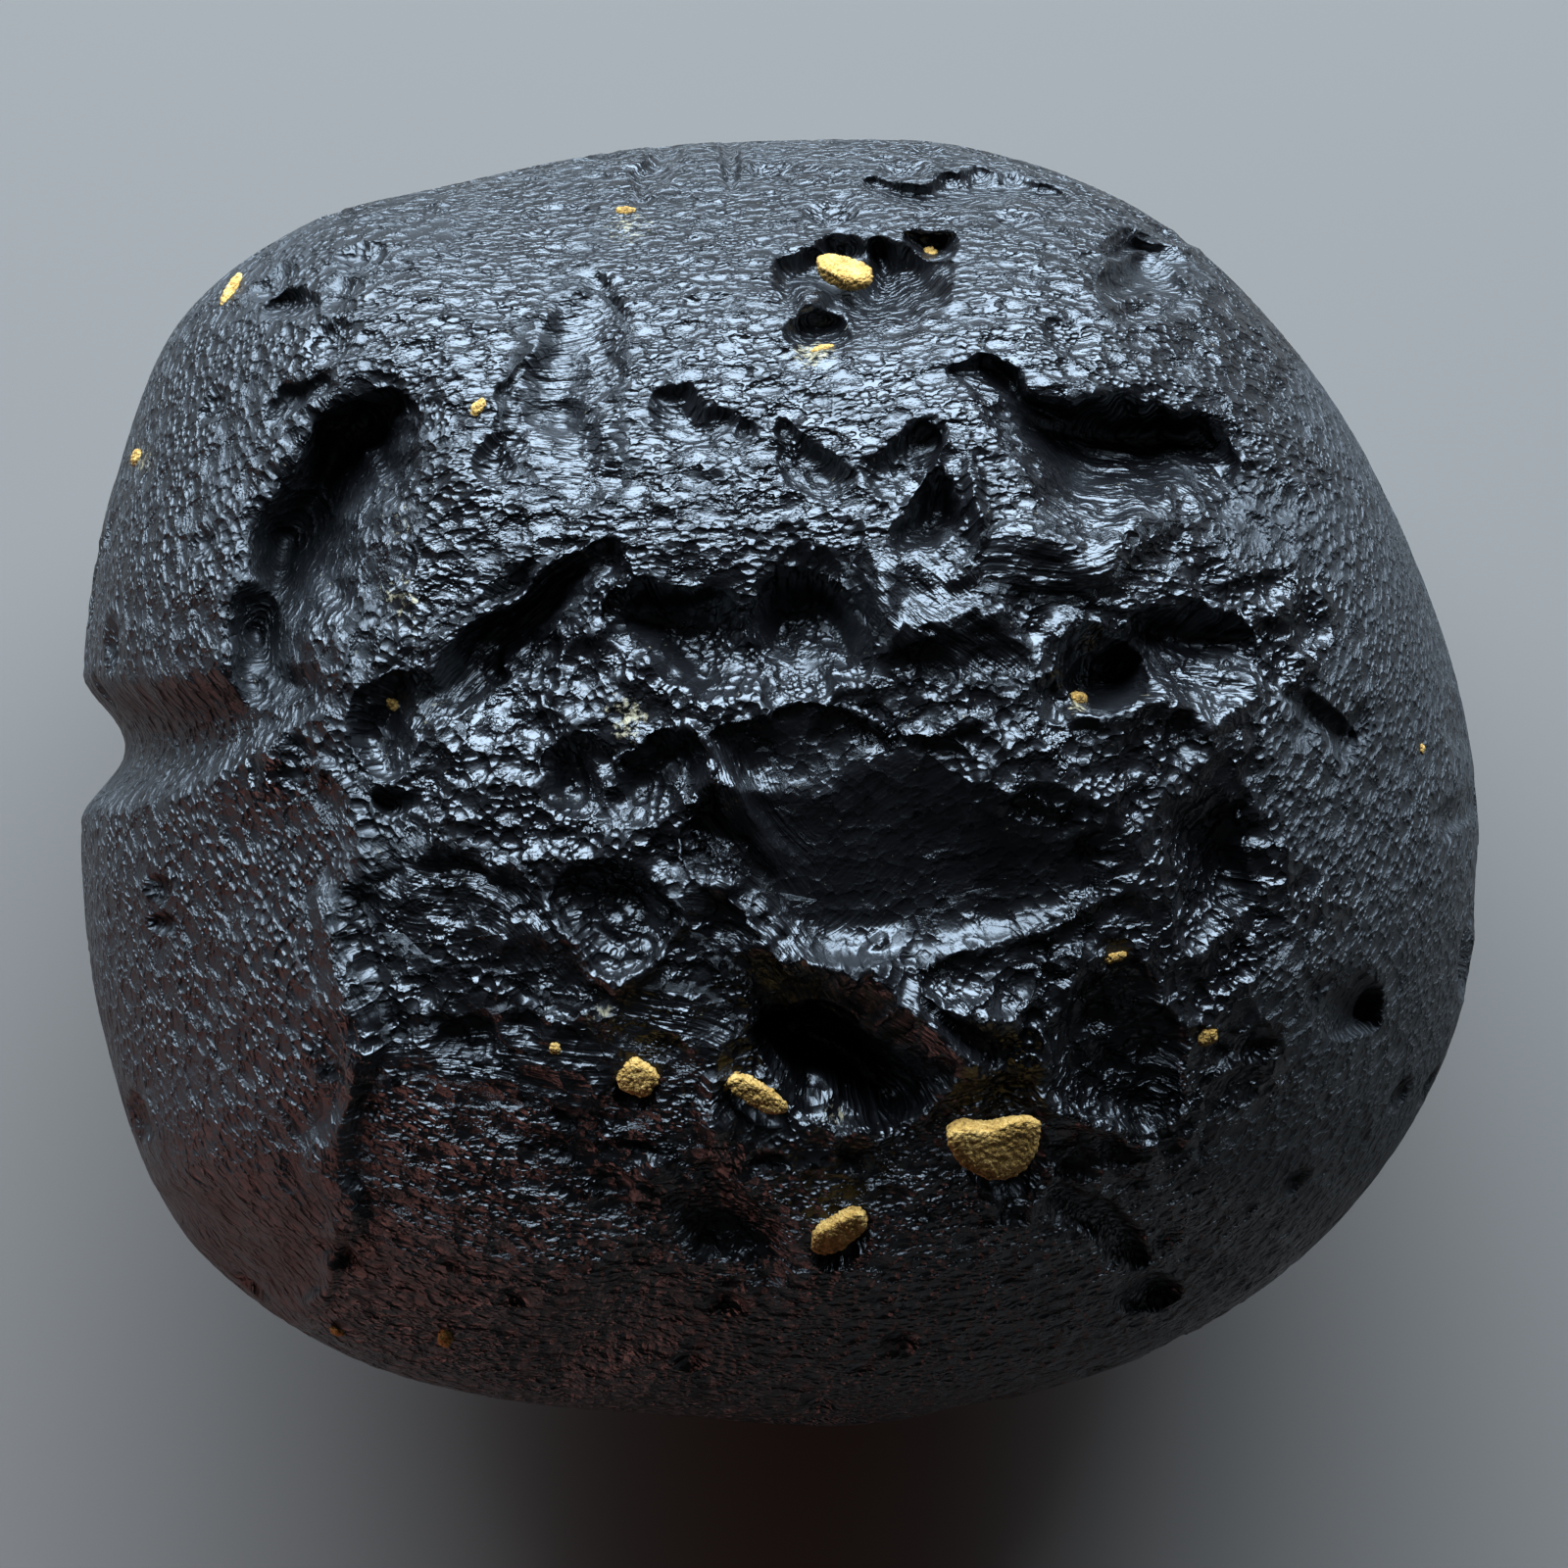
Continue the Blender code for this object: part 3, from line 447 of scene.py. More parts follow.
grid = np.stack(np.meshgrid(range(-20, 21), range(-20, 21)), axis=-1).reshape(-1, 2).astype(float)
print("face: up to", round(float(face_depth(grid).max()), 1), "mm deep")

# %% [markdown]
# On the flanks and the belly each oval is laid on a plane that touches the lump, and round pits come at
# seeded places. The face's own relief fades in above the widest section.

# %% Relief of the flanks
FACE_FOOT = -0.5  # the face's marks start here, by the widest section
FACE_FADE = 4.0  # and reach their full depth over this height
LEAST_LEVELNESS = 0.5  # no mark is carved deeper than as on a slope of 60 degrees


def share_above(points, foot, fade):
    """0 up to the foot, then more with height, and 1 when it has faded in."""
    return np.clip((points[:, 2] - foot) / fade, 0, 1)


def side_depth(points):
    """How deep the flanks and the belly are carved: ovals laid on tangent planes."""
    deepest = np.zeros(len(points))
    for form in SIDE_HOLLOWS:
        azimuth, latitude = math.radians(form.azimuth), math.radians(form.latitude)
        level = math.cos(latitude)
        outward = np.array((level * math.cos(azimuth), level * math.sin(azimuth), math.sin(latitude)))
        centre = smooth_body(outward[None, :])[0]
        east = np.array((-math.sin(azimuth), math.cos(azimuth), 0.0))
        north = np.cross(outward, east)
        offset = points - centre
        flat = np.stack([offset @ east, offset @ north], axis=1)
        on_this_side = np.abs(offset @ outward) < form.length
        laid = Hollow(0, 0, form.length, form.width, form.turn, form.depth, form.rim)
        deepest = np.maximum(deepest, np.where(on_this_side, hollowed(flat, laid), 0))
    return deepest


def pit_depth(points):
    """How deep the lesser pits go: round bowls at seeded places, where the deepest wins."""
    deepest = np.zeros(len(points))
    for count, least, greatest, steepness, highest, seed in STREWN_PITS:
        rng = np.random.default_rng(seed)
        outward = rng.normal(size=(count, 3))
        outward /= np.linalg.norm(outward, axis=1)[:, None]
        widths = least * (greatest / least) ** rng.uniform(0, 1, count)
        low = outward[:, 2] <= highest
        for centre, width in zip(smooth_body(outward[low]), widths[low]):
            near = np.abs(points - centre).max(axis=1) < width / 2
            reach = np.linalg.norm(points[near] - centre, axis=1) * 2 / width
            deepest[near] = np.maximum(deepest[near], width * steepness * profile(reach, CRISP))
    return deepest


def carved(points, normals):
    """The skin after carving: flanks and edge channel along the normals, the face straight down."""
    skin = points - normals * (side_depth(points) + pit_depth(points) - swell(points))[:, None]
    seen = as_seen(skin)
    edge_share = share_above(points, EDGE_CHANNEL_FOOT, EDGE_CHANNEL_FADE) * (points[:, 0] < 0)
    skin -= normals * (edge_share * grooved(seen, EDGE_CHANNEL))[:, None]
    face_share = share_above(points, FACE_FOOT, FACE_FADE)
    skin[:, 2] -= face_share * face_depth(seen) / np.clip(normals[:, 2], LEAST_LEVELNESS, 1)
    return skin


around = np.radians(np.arange(0, 360, 5))
low = np.stack([np.cos(around), np.sin(around), np.full(len(around), -0.5)], axis=1) / math.hypot(1, 0.5)
print("low on the flanks: up to", round(float(side_depth(smooth_body(low)).max()), 1), "mm deep")

# %% [markdown]
# ## A dense skin
# A cube cut into a fine grid and blown up to a ball gives even quads with no poles. Its points are moved
# by the rules above, all at once, as numpy arrays.

# %% The dense skin
SKIN_LEVELS = 8  # halvings of each edge of the starting cube


def coordinates(mesh, what="co"):
    """One row for each point of a mesh: where it is, or its normal."""
    flat = np.empty(len(mesh.vertices) * 3, np.float32)
    mesh.vertices.foreach_get(what, flat)
    return flat.reshape(-1, 3).astype(float)


def set_coordinates(mesh, points):
    mesh.vertices.foreach_set("co", points.astype(np.float32).ravel())
    mesh.update()


def finished_mesh(obj):
    """The object's mesh with its modifiers applied, as plain data."""
    graph = bpy.context.evaluated_depsgraph_get()
    return bpy.data.meshes.new_from_object(obj.evaluated_get(graph), depsgraph=graph)


def swap_mesh(obj, mesh):
    """Gives an object its finished mesh, and drops the modifiers that made it."""
    obj.modifiers.clear()
    old = obj.data
    obj.data = mesh
    bpy.data.meshes.remove(old)


def link(name, mesh):
    obj = bpy.data.objects.new(name, mesh)
    bpy.context.scene.collection.objects.link(obj)
    return obj


def as_mesh(name, work):
    """A mesh from what was built with bmesh."""
    mesh = bpy.data.meshes.new(name)
    work.to_mesh(mesh)
    work.free()
    return mesh


def unit_grid(levels):
    """An object whose mesh is a cube cut into 2 ** levels squares along each edge."""
    cube = bmesh.new()
    bmesh.ops.create_cube(cube, size=2.0)
    obj = link("glass_skin", as_mesh("glass_skin", cube))
    cuts = obj.modifiers.new("cuts", "SUBSURF")
    cuts.subdivision_type = "SIMPLE"
    cuts.levels = cuts.render_levels = levels
    swap_mesh(obj, finished_mesh(obj))
    return obj


glass = unit_grid(SKIN_LEVELS)
rays = np.tan(coordinates(glass.data) * math.pi / 4)  # the tangent spaces the grid evenly
rays /= np.linalg.norm(rays, axis=1)[:, None]
smooth = smooth_body(rays)
set_coordinates(glass.data, smooth)
set_coordinates(glass.data, carved(smooth, coordinates(glass.data, "normal")))
print("dense skin:", len(glass.data.vertices), "points")

# %% [markdown]
# ## Ringed pits and ripples
# Some pits have a raised rim and rings inside it, and some grooves are ribbed across, because the etching
# follows layers in the glass. These are too fine for the measured solid, so they're only here.

# %% Rings and ripples
Ring = namedtuple("Ring", "x y width depth rings")
Ripples = namedtuple("Ripples", "x y length width turn spacing height bend")

RINGS = rows(
    Ring,
    (-5.6, -3.9, 4.4, 0.30, 2.5),
    (11.4, -9.1, 5.0, 0.35, 2.0),
    (16.9, 10.3, 2.3, 0.30, 1.0),
    (-21.7, -3.0, 1.1, 0.22, 0.0),
    (-21.4, -4.4, 1.1, 0.22, 0.0),
    (-2.0, -2.6, 1.7, 0.25, 1.0),
    (-8.5, -4.2, 1.4, 0.2, 1.0),
    (4.3, 11.1, 1.7, 0.25, 0.0),
    (6.5, 10.5, 0.8, 0.16, 0.0),
    (-9.9, 3.8, 1.0, 0.2, 0.0),
    (13.4, 8.6, 1.2, 0.2, 0.0),
    (8.0, -14.2, 1.6, 0.25, 1.0),
)
RIPPLES = rows(
    Ripples,
    (-7.3, 13.0, 6.8, 3.4, 92, 0.95, 0.07, -0.12),  # across the groove on the upper left
    (12.5, 17.3, 3.6, 3.4, 80, 0.85, 0.26, 0.05),  # the ribbed groove on the upper right
    (11.0, 10.8, 5.2, 2.4, 62, 0.78, 0.12, 0.10),  # fanned ribs in the upper right trough
    (-9.6, 4.6, 8.0, 2.6, 126, 0.72, 0.10, 0.02),  # along the slanting groove
    (4.9, -7.9, 4.4, 3.4, -38, 0.80, 0.14, 0.12),  # between cave and ring
    (-0.9, -1.0, 5.4, 2.2, 34, 0.75, 0.10, 0.0),  # along the blade
    (5.6, 6.2, 5.0, 3.2, 52, 0.82, 0.10, 0.08),  # the bright slope in the middle
    (-0.2, -5.8, 5.0, 3.0, 48, 0.80, 0.10, -0.06),
    (-9.6, -9.4, 9.0, 2.6, 88, 0.85, 0.07, 0.0),
)
RIM_WIDTH = 0.13  # of a ring's raised rim, in parts of its radius
RIM_HEIGHT = 0.45  # in parts of its depth, like the rings inside it
INNER_HEIGHT = 0.35


def ring_height(seen, ring):
    reach = np.hypot(seen[:, 0] - ring.x, seen[:, 1] - ring.y) * 2 / ring.width
    rim = RIM_HEIGHT * np.exp(-(((reach - 1) / RIM_WIDTH) ** 2))
    inside = profile(reach, CRISP)
    return ring.depth * (rim - inside * (1 + INNER_HEIGHT * np.cos(2 * math.pi * ring.rings * reach)))


def ripple_height(seen, ripples):
    along, across = turned(seen, ripples.x, ripples.y, ripples.turn)
    mask = profile(np.hypot(along * 2 / ripples.width, across * 2 / ripples.length), CRISP)
    phase = (along + ripples.bend * across**2) / ripples.spacing
    return ripples.height * mask * (1 - 2 * np.abs(np.sin(math.pi * phase)))


def fine_height(seen):
    """Height of the rings and ripples at each place seen from above."""
    moved = wander(seen)
    return sum(ring_height(moved, ring) for ring in RINGS) + sum(ripple_height(moved, row) for row in RIPPLES)


skin = coordinates(glass.data)
facing = coordinates(glass.data, "normal")
on_face = share_above(skin, FACE_FOOT, FACE_FADE)
skin += facing * (on_face * fine_height(as_seen(skin)))[:, None]
set_coordinates(glass.data, skin)
glass.data.transform(Matrix.Scale(MM, 4) @ Matrix.Translation((0, 0, WIDEST_Z)))
print("rings and ripples raised on", int((on_face > 0).sum()), "points")

# %% [markdown]
# ## Where each kind of pitting goes
# The pitting isn't even. Round pits crowd the middle of the face, flat scales cover its upper part, both
# flanks are more matt, and the walls of the big hollows are smooth. Each zone is a mask kept on the points,
# and everything that follows reads these masks.

# %% Masks


def ramp(value, start, end):
    """0 before start, 1 after end, smooth in between."""
    t = np.clip((value - start) / (end - start), 0, 1)
    return t * t * (3 - 2 * t)


# Where each zone starts and where it is whole: upwards for the face, outwards for the others.
FACE_EDGE = (-3.0, 3.0)
LEFT_EDGE = (12.5, 16.0)
RIGHT_EDGE = (15.5, 18.5)
UPPER_EDGE = (5.0, 9.0)
LOWER_EDGE = (9.0, 13.0)
HOLLOW_DEPTHS = (0.25, 0.9)
BOWL_DEPTHS = (0.3, 0.9)
ZONE_WAVES = ((1.6, 7.0, 6, 41),)  # how a zone's edge wanders


def from_middle(mesh):
    """Where a mesh's points are, in millimetres from the middle of the widest section."""
    return coordinates(mesh) / MM - (0, 0, WIDEST_Z)


def zone_masks(points):
    """The masks by name, with a value for each point."""
    seen = as_seen(points)
    loose = wander(seen) + layered(seen, ZONE_WAVES)[:, None]
    x, y = loose.T
    face = ramp(points[:, 2], *FACE_EDGE)
    hollow = face * ramp(cut_depth(seen), *HOLLOW_DEPTHS)
    left = face * ramp(-x, *LEFT_EDGE)
    right = ramp(x, *RIGHT_EDGE)
    upper = face * ramp(y, *UPPER_EDGE) * (1 - left) * (1 - right)
    lower = ramp(-y, *LOWER_EDGE) * (1 - left)
    middle = face * (1 - left) * (1 - right) * (1 - upper) * (1 - lower)
    bowl = face * ramp(hollowed(wander(seen), HOLLOWS[0]), *BOWL_DEPTHS)
    return dict(hollow=hollow, left=left, right=right, upper=upper, lower=lower, middle=middle, bowl=bowl)


places = from_middle(glass.data)
masks = zone_masks(places)
print("masks:", ", ".join(masks))

# %% [markdown]
# ## Flat coordinates for the pits
# A flat pattern as seen from above would stretch the pits of the flanks into stripes. So each half of the
# stone is unrolled as on a map of one hemisphere: pits get smaller towards the widest section, but they
# stay round. Each zone then turns and stretches its own part, because its pits have their own grain.

# %% Flat coordinates
Grain = namedtuple("Grain", "turn along across depth")

GRAINS = {
    "middle": Grain(0, 0.76, 0.76, 1.3),
    "upper": Grain(3, 0.8, 1.25, 1.0),
    "left": Grain(-67, 0.75, 0.9, 1.8),
    "right": Grain(60, 0.85, 1.05, 1.6),
    "lower": Grain(-4, 0.9, 1.1, 1.8),
}
BODY = np.array((23.8, 21.9, 17.4))  # half sizes of the whole stone
WALL_LOSSES = {"hollow": 0.8, "bowl": 0.85, "right": 0.5}  # of pits, where the walls are smooth


def zone_of(masks):
    """The number of the zone that each point is most in, and how deep the pits are there."""
    shares = np.array([masks[name] for name in GRAINS]) + 1e-6
    depths = np.array([zone.depth for zone in GRAINS.values()])
    return np.argmax(shares, axis=0), depths @ shares / shares.sum(axis=0)


def spread(points):
    """How much smaller pits are at each point than at the poles, where this is 1."""
    aim = points / BODY
    return (1 + np.abs(aim[:, 2]) / np.linalg.norm(aim, axis=1)) / 2


def sheet(points, zones):
    """Flat coordinates for pits, in the zone that each point belongs to."""
    aim = points / BODY
    flat = (aim / np.linalg.norm(aim, axis=1)[:, None] * BODY)[:, :2] / spread(points)[:, None]
    laid = np.zeros((len(points), 3))
    for number, zone in enumerate(GRAINS.values()):
        here = zones == number
        along, across = turned(flat[here], 0, 0, zone.turn)
        laid[here, 0] = along * zone.along
        laid[here, 1] = across * zone.across
    return laid


def keep_masks(mesh, masks):
    for name, values in masks.items():
        layer = mesh.attributes.new(name, "FLOAT", "POINT")
        layer.data.foreach_set("value", values.astype(np.float32))


def keep_vectors(mesh, name, values, domain):
    layer = mesh.attributes.new(name, "FLOAT_VECTOR", domain)
    layer.data.foreach_set("vector", values.astype(np.float32).ravel())


def left_by(masks, losses):
    """What is left of something at each point, after its loss in each zone."""
    return np.prod([1 - loss * masks[name] for name, loss in losses.items()], axis=0)


def pit_amounts(masks):
    """How much of each kind of geometric pit there is at each point."""
    walls = left_by(masks, WALL_LOSSES)
    small = 0.4 + 0.6 * masks["middle"] + 0.2 * masks["upper"]
    return {
        "round_pits": walls * (0.2 + 0.8 * masks["middle"]) * (1 - 0.4 * masks["left"]),
        "small_pits": walls * small * (1 - 0.2 * masks["left"]),
    }


amounts = pit_amounts(masks)
keep_masks(glass.data, {name: amount * spread(places) for name, amount in amounts.items()})
flat = sheet(places, zone_of(masks)[0])
keep_vectors(glass.data, "sheet", flat, "POINT")
print("sheet:", np.ptp(flat, axis=0)[:2].round(1).tolist(), "mm, for", ", ".join(amounts))

# %% [markdown]
# ## Pits over the whole skin
# One Geometry Nodes group makes pits of any size: a Voronoi pattern gives each pit a centre, and a bowl
# with a low rim is pressed in along the normal. The pattern is flat, on the coordinates kept above, because
# a solid pattern would cut most of its cells off centre and few pits would come out round.

# %% The pit maker
PIT_RIM = 0.16  # width of the rim, in parts of a pit's radius
PIT_RIM_HEIGHT = 0.25  # in parts of its depth
PIT_STEEPNESS = 3.0  # 2 is an even bowl, more has a flatter floor and steeper walls
PIT_RADII = (0.45, 0.7)  # least and greatest, in parts of a cell
PIT_DEPTHS = (0.5, 1.1)  # in parts of the depth asked for


def node_group(name, kind, result, **inputs):
    """A new node group with its sockets: its tree, what it is given, and where its result goes."""
    tree = bpy.data.node_groups.new(name, kind)
    for label, socket in inputs.items():
        tree.interface.new_socket(label, in_out="INPUT", socket_type="NodeSocket" + socket)
    tree.interface.new_socket("Result", in_out="OUTPUT", socket_type="NodeSocket" + result)
    return tree, tree.nodes.new("NodeGroupInput").outputs, tree.nodes.new("NodeGroupOutput").inputs[0]


def node(tree, kind, settings=None, **values):
    """A node with its settings, whose inputs are given as numbers or as sockets to link from."""
    made = tree.nodes.new(kind)
    for label, value in (settings or {}).items():
        setattr(made, label, value)
    for key, value in values.items():
        numbered = key[0] == "i" and key[1:].isdigit()
        spot = made.inputs[int(key[1:]) if numbered else key.replace("_", " ")]
        if isinstance(value, bpy.types.NodeSocket):
            tree.links.new(value, spot)
        else:
            spot.default_value = value
    return made


def math_node(tree, operation, *values):
    inputs = {f"i{slot}": value for slot, value in enumerate(values)}
    return node(tree, "ShaderNodeMath", {"operation": operation}, **inputs).outputs[0]


def product(tree, first, *others):
    for other in others:
        first = math_node(tree, "MULTIPLY", first, other)
    return first


def between(tree, luck, least, greatest):
    """A value between two ends, by a random number from 0 to 1."""
    return math_node(tree, "MULTIPLY_ADD", luck, greatest - least, least)


def scaled(tree, vector, amount):
    return node(tree, "ShaderNodeVectorMath", {"operation": "SCALE"}, i0=vector, i3=amount).outputs[0]


def pit_cells(tree, place, cell):
    """Flat cells, one for each pit: how far a place is from its cell's middle, and three random numbers."""
    density = math_node(tree, "DIVIDE", 1.0, cell)
    cells = node(tree, "ShaderNodeTexVoronoi", {"voronoi_dimensions": "2D"}, Vector=place, Scale=density)
    luck = node(tree, "ShaderNodeSeparateXYZ", Vector=cells.outputs["Color"])
    return cells.outputs["Distance"], luck.outputs


def kept_value(tree, name, kind="FLOAT"):
    return node(tree, "GeometryNodeInputNamedAttribute", {"data_type": kind}, Name=name).outputs[0]


def pits_group():
    sockets = dict(Geometry="Geometry", Cell="Float", Depth="Float", Share="Float", Mask="String")
    tree, given, end = node_group("pits", "GeometryNodeTree", "Geometry", **sockets)
    away, luck = pit_cells(tree, kept_value(tree, "sheet", "FLOAT_VECTOR"), given["Cell"])
    reach = math_node(tree, "DIVIDE", away, between(tree, luck[0], *PIT_RADII))
    fallen = math_node(tree, "SUBTRACT", 1.0, math_node(tree, "POWER", reach, PIT_STEEPNESS))
    bowl = math_node(tree, "MAXIMUM", fallen, 0.0)
    off_rim = math_node(tree, "DIVIDE", math_node(tree, "SUBTRACT", reach, 1.0), PIT_RIM)
    rim = math_node(tree, "EXPONENT", product(tree, off_rim, off_rim, -1.0))
    height = math_node(tree, "SUBTRACT", product(tree, rim, PIT_RIM_HEIGHT), bowl)
    kept = math_node(tree, "LESS_THAN", luck[1], given["Share"])
    varied = between(tree, luck[2], *PIT_DEPTHS)
    amount = product(tree, kept, varied, kept_value(tree, given["Mask"]))
    lift = product(tree, height, given["Depth"], amount)
    offset = scaled(tree, node(tree, "GeometryNodeInputNormal").outputs[0], lift)
    moved = node(tree, "GeometryNodeSetPosition", Geometry=given["Geometry"], Offset=offset)
    tree.links.new(moved.outputs[0], end)
    return tree


PITS = pits_group()
PIT_KINDS = (
    {"Cell": 1.9, "Depth": 0.36, "Share": 0.7, "Mask": "round_pits"},
    {"Cell": 1.15, "Depth": 0.2, "Share": 0.85, "Mask": "small_pits"},
)


def add_group(obj, tree, values):
    """Adds a node group to an object as a modifier, with its inputs set by name."""
    modifier = obj.modifiers.new(tree.name, "NODES")
    modifier.node_group = tree
    for item in tree.interface.items_tree:
        if item.in_out == "INPUT" and item.name in values:
            modifier[item.identifier] = values[item.name]


for kind in PIT_KINDS:
    add_group(glass, PITS, dict(kind, Depth=kind["Depth"] * MM))
swap_mesh(glass, finished_mesh(glass))
print("pitted skin:", len(glass.data.polygons), "faces from", len(PIT_KINDS), "kinds of pit")

# %% [markdown]
# ## Down to size
# The stone rests on a worn flat, so nothing may hang below it. Then the mesh is thinned to the triangles a
# shelf can carry. A remesh would space them evenly, but thinning spends them on rims and pits.

# %% Resting face and thinning
SKIN_TRIANGLES = 198_000

pressed = coordinates(glass.data)
pressed[:, 2] = np.maximum(pressed[:, 2], 0)
set_coordinates(glass.data, pressed)
thin = glass.modifiers.new("thin", "DECIMATE")
thin.ratio = SKIN_TRIANGLES / (2 * len(glass.data.polygons))
thin.use_collapse_triangulate = True
swap_mesh(glass, finished_mesh(glass))
glass.data.shade_smooth()
lowest = coordinates(glass.data)[:, 2].min() / MM
print("glass:", len(glass.data.polygons), "triangles, lowest point", round(lowest, 3), "mm")

# %% [markdown]
# ## Flow lines and grain
# Smooth walls carry fine lines, the layers of the once molten glass. They're too fine for the mesh, so the
# material draws them. Here each patch of lines gives its points a coordinate that runs along the lines, and
# an amount that fades at the patch's edge. The finest pits get their flat coordinates, as the mesh did.
# Working these out here, once for each point, is far quicker than for each ray of light.

# %% Patches of flow lines
Flow = namedtuple("Flow", "x y length width turn bend amount")

FLOWS = rows(
    Flow,
    (10.6, 10.2, 7.5, 3.6, -24, 0.03, 1.0),  # lower wall of the upper right trough
    (8.8, 7.9, 4.6, 2.2, 8, 0.05, 1.0),  # the layered lip under it
    (5.6, 6.0, 7.0, 4.0, -38, 0.04, 1.0),  # the bright slope in the middle
    (-9.9, 4.7, 9.5, 3.2, 36, 0.02, 1.0),  # the slanting groove
    (-14.6, 7.8, 9.5, 3.6, 63, 0.02, 0.8),  # wall of the left cavity
    (-20.6, 2.4, 8.0, 4.6, 8, 0.0, 0.35),  # the channel across the left edge
    (-1.2, -0.7, 7.0, 3.0, -56, 0.0, 1.0),  # the blade
    (-0.2, -5.6, 8.0, 3.6, -40, 0.05, 1.0),
    (4.9, -8.0, 5.0, 4.0, -52, 0.12, 1.0),  # between cave and ring
    (-9.4, -9.3, 11.0, 3.2, -3, 0.0, 0.8),
    (-10.8, -4.4, 10.0, 3.4, -33, 0.0, 0.8),  # the long scratches
    (-6.0, -18.9, 8.0, 5.0, 62, 0.05, 0.6),
    (3.6, -2.0, 12.0, 6.5, 38, 0.0, 0.25),  # floor of the great bowl
    (-15.0, -9.8, 14.0, 2.0, 92, 0.0, 0.7),  # the crease on the left
    (-7.3, 13.0, 4.2, 8.5, 0, -0.12, 0.9),  # across the rippled groove
    (13.4, 2.8, 6.0, 2.6, 10, 0.03, 0.9),  # lower wall of the right cavity
    (-18.4, -14.6, 11.0, 7.0, -48, 0.0, 0.6),  # the lower left facet
    (-1.7, -11.8, 3.2, 1.8, -45, 0.15, 1.0),
    (12.4, 17.2, 3.4, 3.0, -8, 0.0, 0.8),
    (-4.0, -8.4, 5.0, 3.0, -30, 0.0, 0.8),
    (19.5, -15.0, 9.0, 5.0, 40, 0.0, 0.4),
)
LINE_STRETCH = 9.0  # how much longer than wide the lines are
LINE_RISE = 0.4  # how much the lines change with height
PATCHES = ((0.28, 3.4, 6, 61), (0.14, 1.2, 6, 62))  # of rougher and of finer glass

CRUSTS = rows(
    Hollow,
    (-5.3, 2.2, 1.7, 2.6, 10, 1.0, CRISP),
    (-6.1, -7.8, 2.2, 1.2, 20, 0.8, CRISP),
    (1.6, -11.3, 1.3, 1.1, 0, 0.8, CRISP),
    (-13.1, 6.3, 1.6, 3.0, 20, 0.7, CRISP),
    (-13.0, 9.0, 1.2, 2.2, -20, 0.5, CRISP),
    (1.0, 14.6, 2.0, 1.3, 0, 1.0, CRISP),
    (-5.3, 18.9, 2.2, 1.6, 0, 0.7, CRISP),
    (10.0, 2.7, 0.9, 1.3, -15, 1.0, CRISP),
    (-21.9, 11.0, 1.2, 1.4, 20, 0.9, CRISP),
    (-12.0, 2.6, 1.6, 1.2, 0, 0.5, CRISP),
    (11.4, -6.2, 1.6, 1.4, 0, 0.5, CRISP),
)


def flow_lines(points):
    """For each point, a coordinate along and across the lines, and how strong they are."""
    seen = wander(as_seen(points), WANDERS[:1])
    lines = points.copy()
    strongest = np.zeros(len(points))
    face = ramp(points[:, 2], -2.0, 2.0)
    for flow in FLOWS:
        along, across = turned(seen, flow.x, flow.y, flow.turn)
        mask = profile(np.hypot(along * 2 / flow.length, across * 2 / flow.width), CRISP) ** 0.5
        here = flow.amount * mask > strongest
        strongest[here] = (flow.amount * mask)[here]
        lines[here, 0] = along[here] / LINE_STRETCH
        lines[here, 1] = (across + flow.bend * along**2)[here]
        lines[here, 2] = points[here, 2] * LINE_RISE
    return lines, strongest * face


places = from_middle(glass.data)
masks = zone_masks(places)
lines, line_amount = flow_lines(places)
patchy = 0.5 + layered(places, PATCHES)
zones, pitted = zone_of(masks)
pitted *= spread(places) * (1 - 0.45 * masks["hollow"]) * (1 - 0.65 * line_amount) * (1 - 0.3 * masks["bowl"])
seen = as_seen(places)
matt = np.maximum(masks["right"], 0.6 * masks["left"])
crust = ramp(places[:, 2], -3, 0) * np.max([hollowed(seen, spot) for spot in CRUSTS], axis=0)
kept = dict(line_amount=line_amount, patchy=patchy, pitted=pitted, matt=matt, crust=crust)
keep_masks(glass.data, kept)
keep_vectors(glass.data, "lines", lines, "POINT")

# Every corner of a face is laid out like its first one, so no face is stretched between two zones.
corners = np.empty(len(glass.data.loops), np.int32)
glass.data.loops.foreach_get("vertex_index", corners)
firsts = np.repeat(corners[::3], 3)
glass.data.attributes.remove(glass.data.attributes["sheet"])
keep_vectors(glass.data, "sheet", sheet(places[corners], zones[firsts]), "CORNER")
print("flow lines on", int((line_amount > 0.1).sum()), "of", len(line_amount), "points")

# %% [markdown]
# ## The finest pits, in the material
# The finest pits are drawn as bumps. One shader group makes bowls without rims, in cells of one size, and
# the glass uses it at several sizes. Each use takes the depths so far and keeps whichever is deeper, as
# where real pits overlap. Heights reach the bump in metres, so the slopes are the real ones.

# %% Shader groups
MICRO_STEEPNESS = 2.5
MICRO_RADII = (0.38, 0.68)
MICRO_DEPTHS = (0.6, 1.2)


def noise(tree, place, scale, detail, roughness=0.5):
    values = dict(Vector=place, Scale=scale, Detail=detail, Roughness=roughness)
    return node(tree, "ShaderNodeTexNoise", **values).outputs[0]


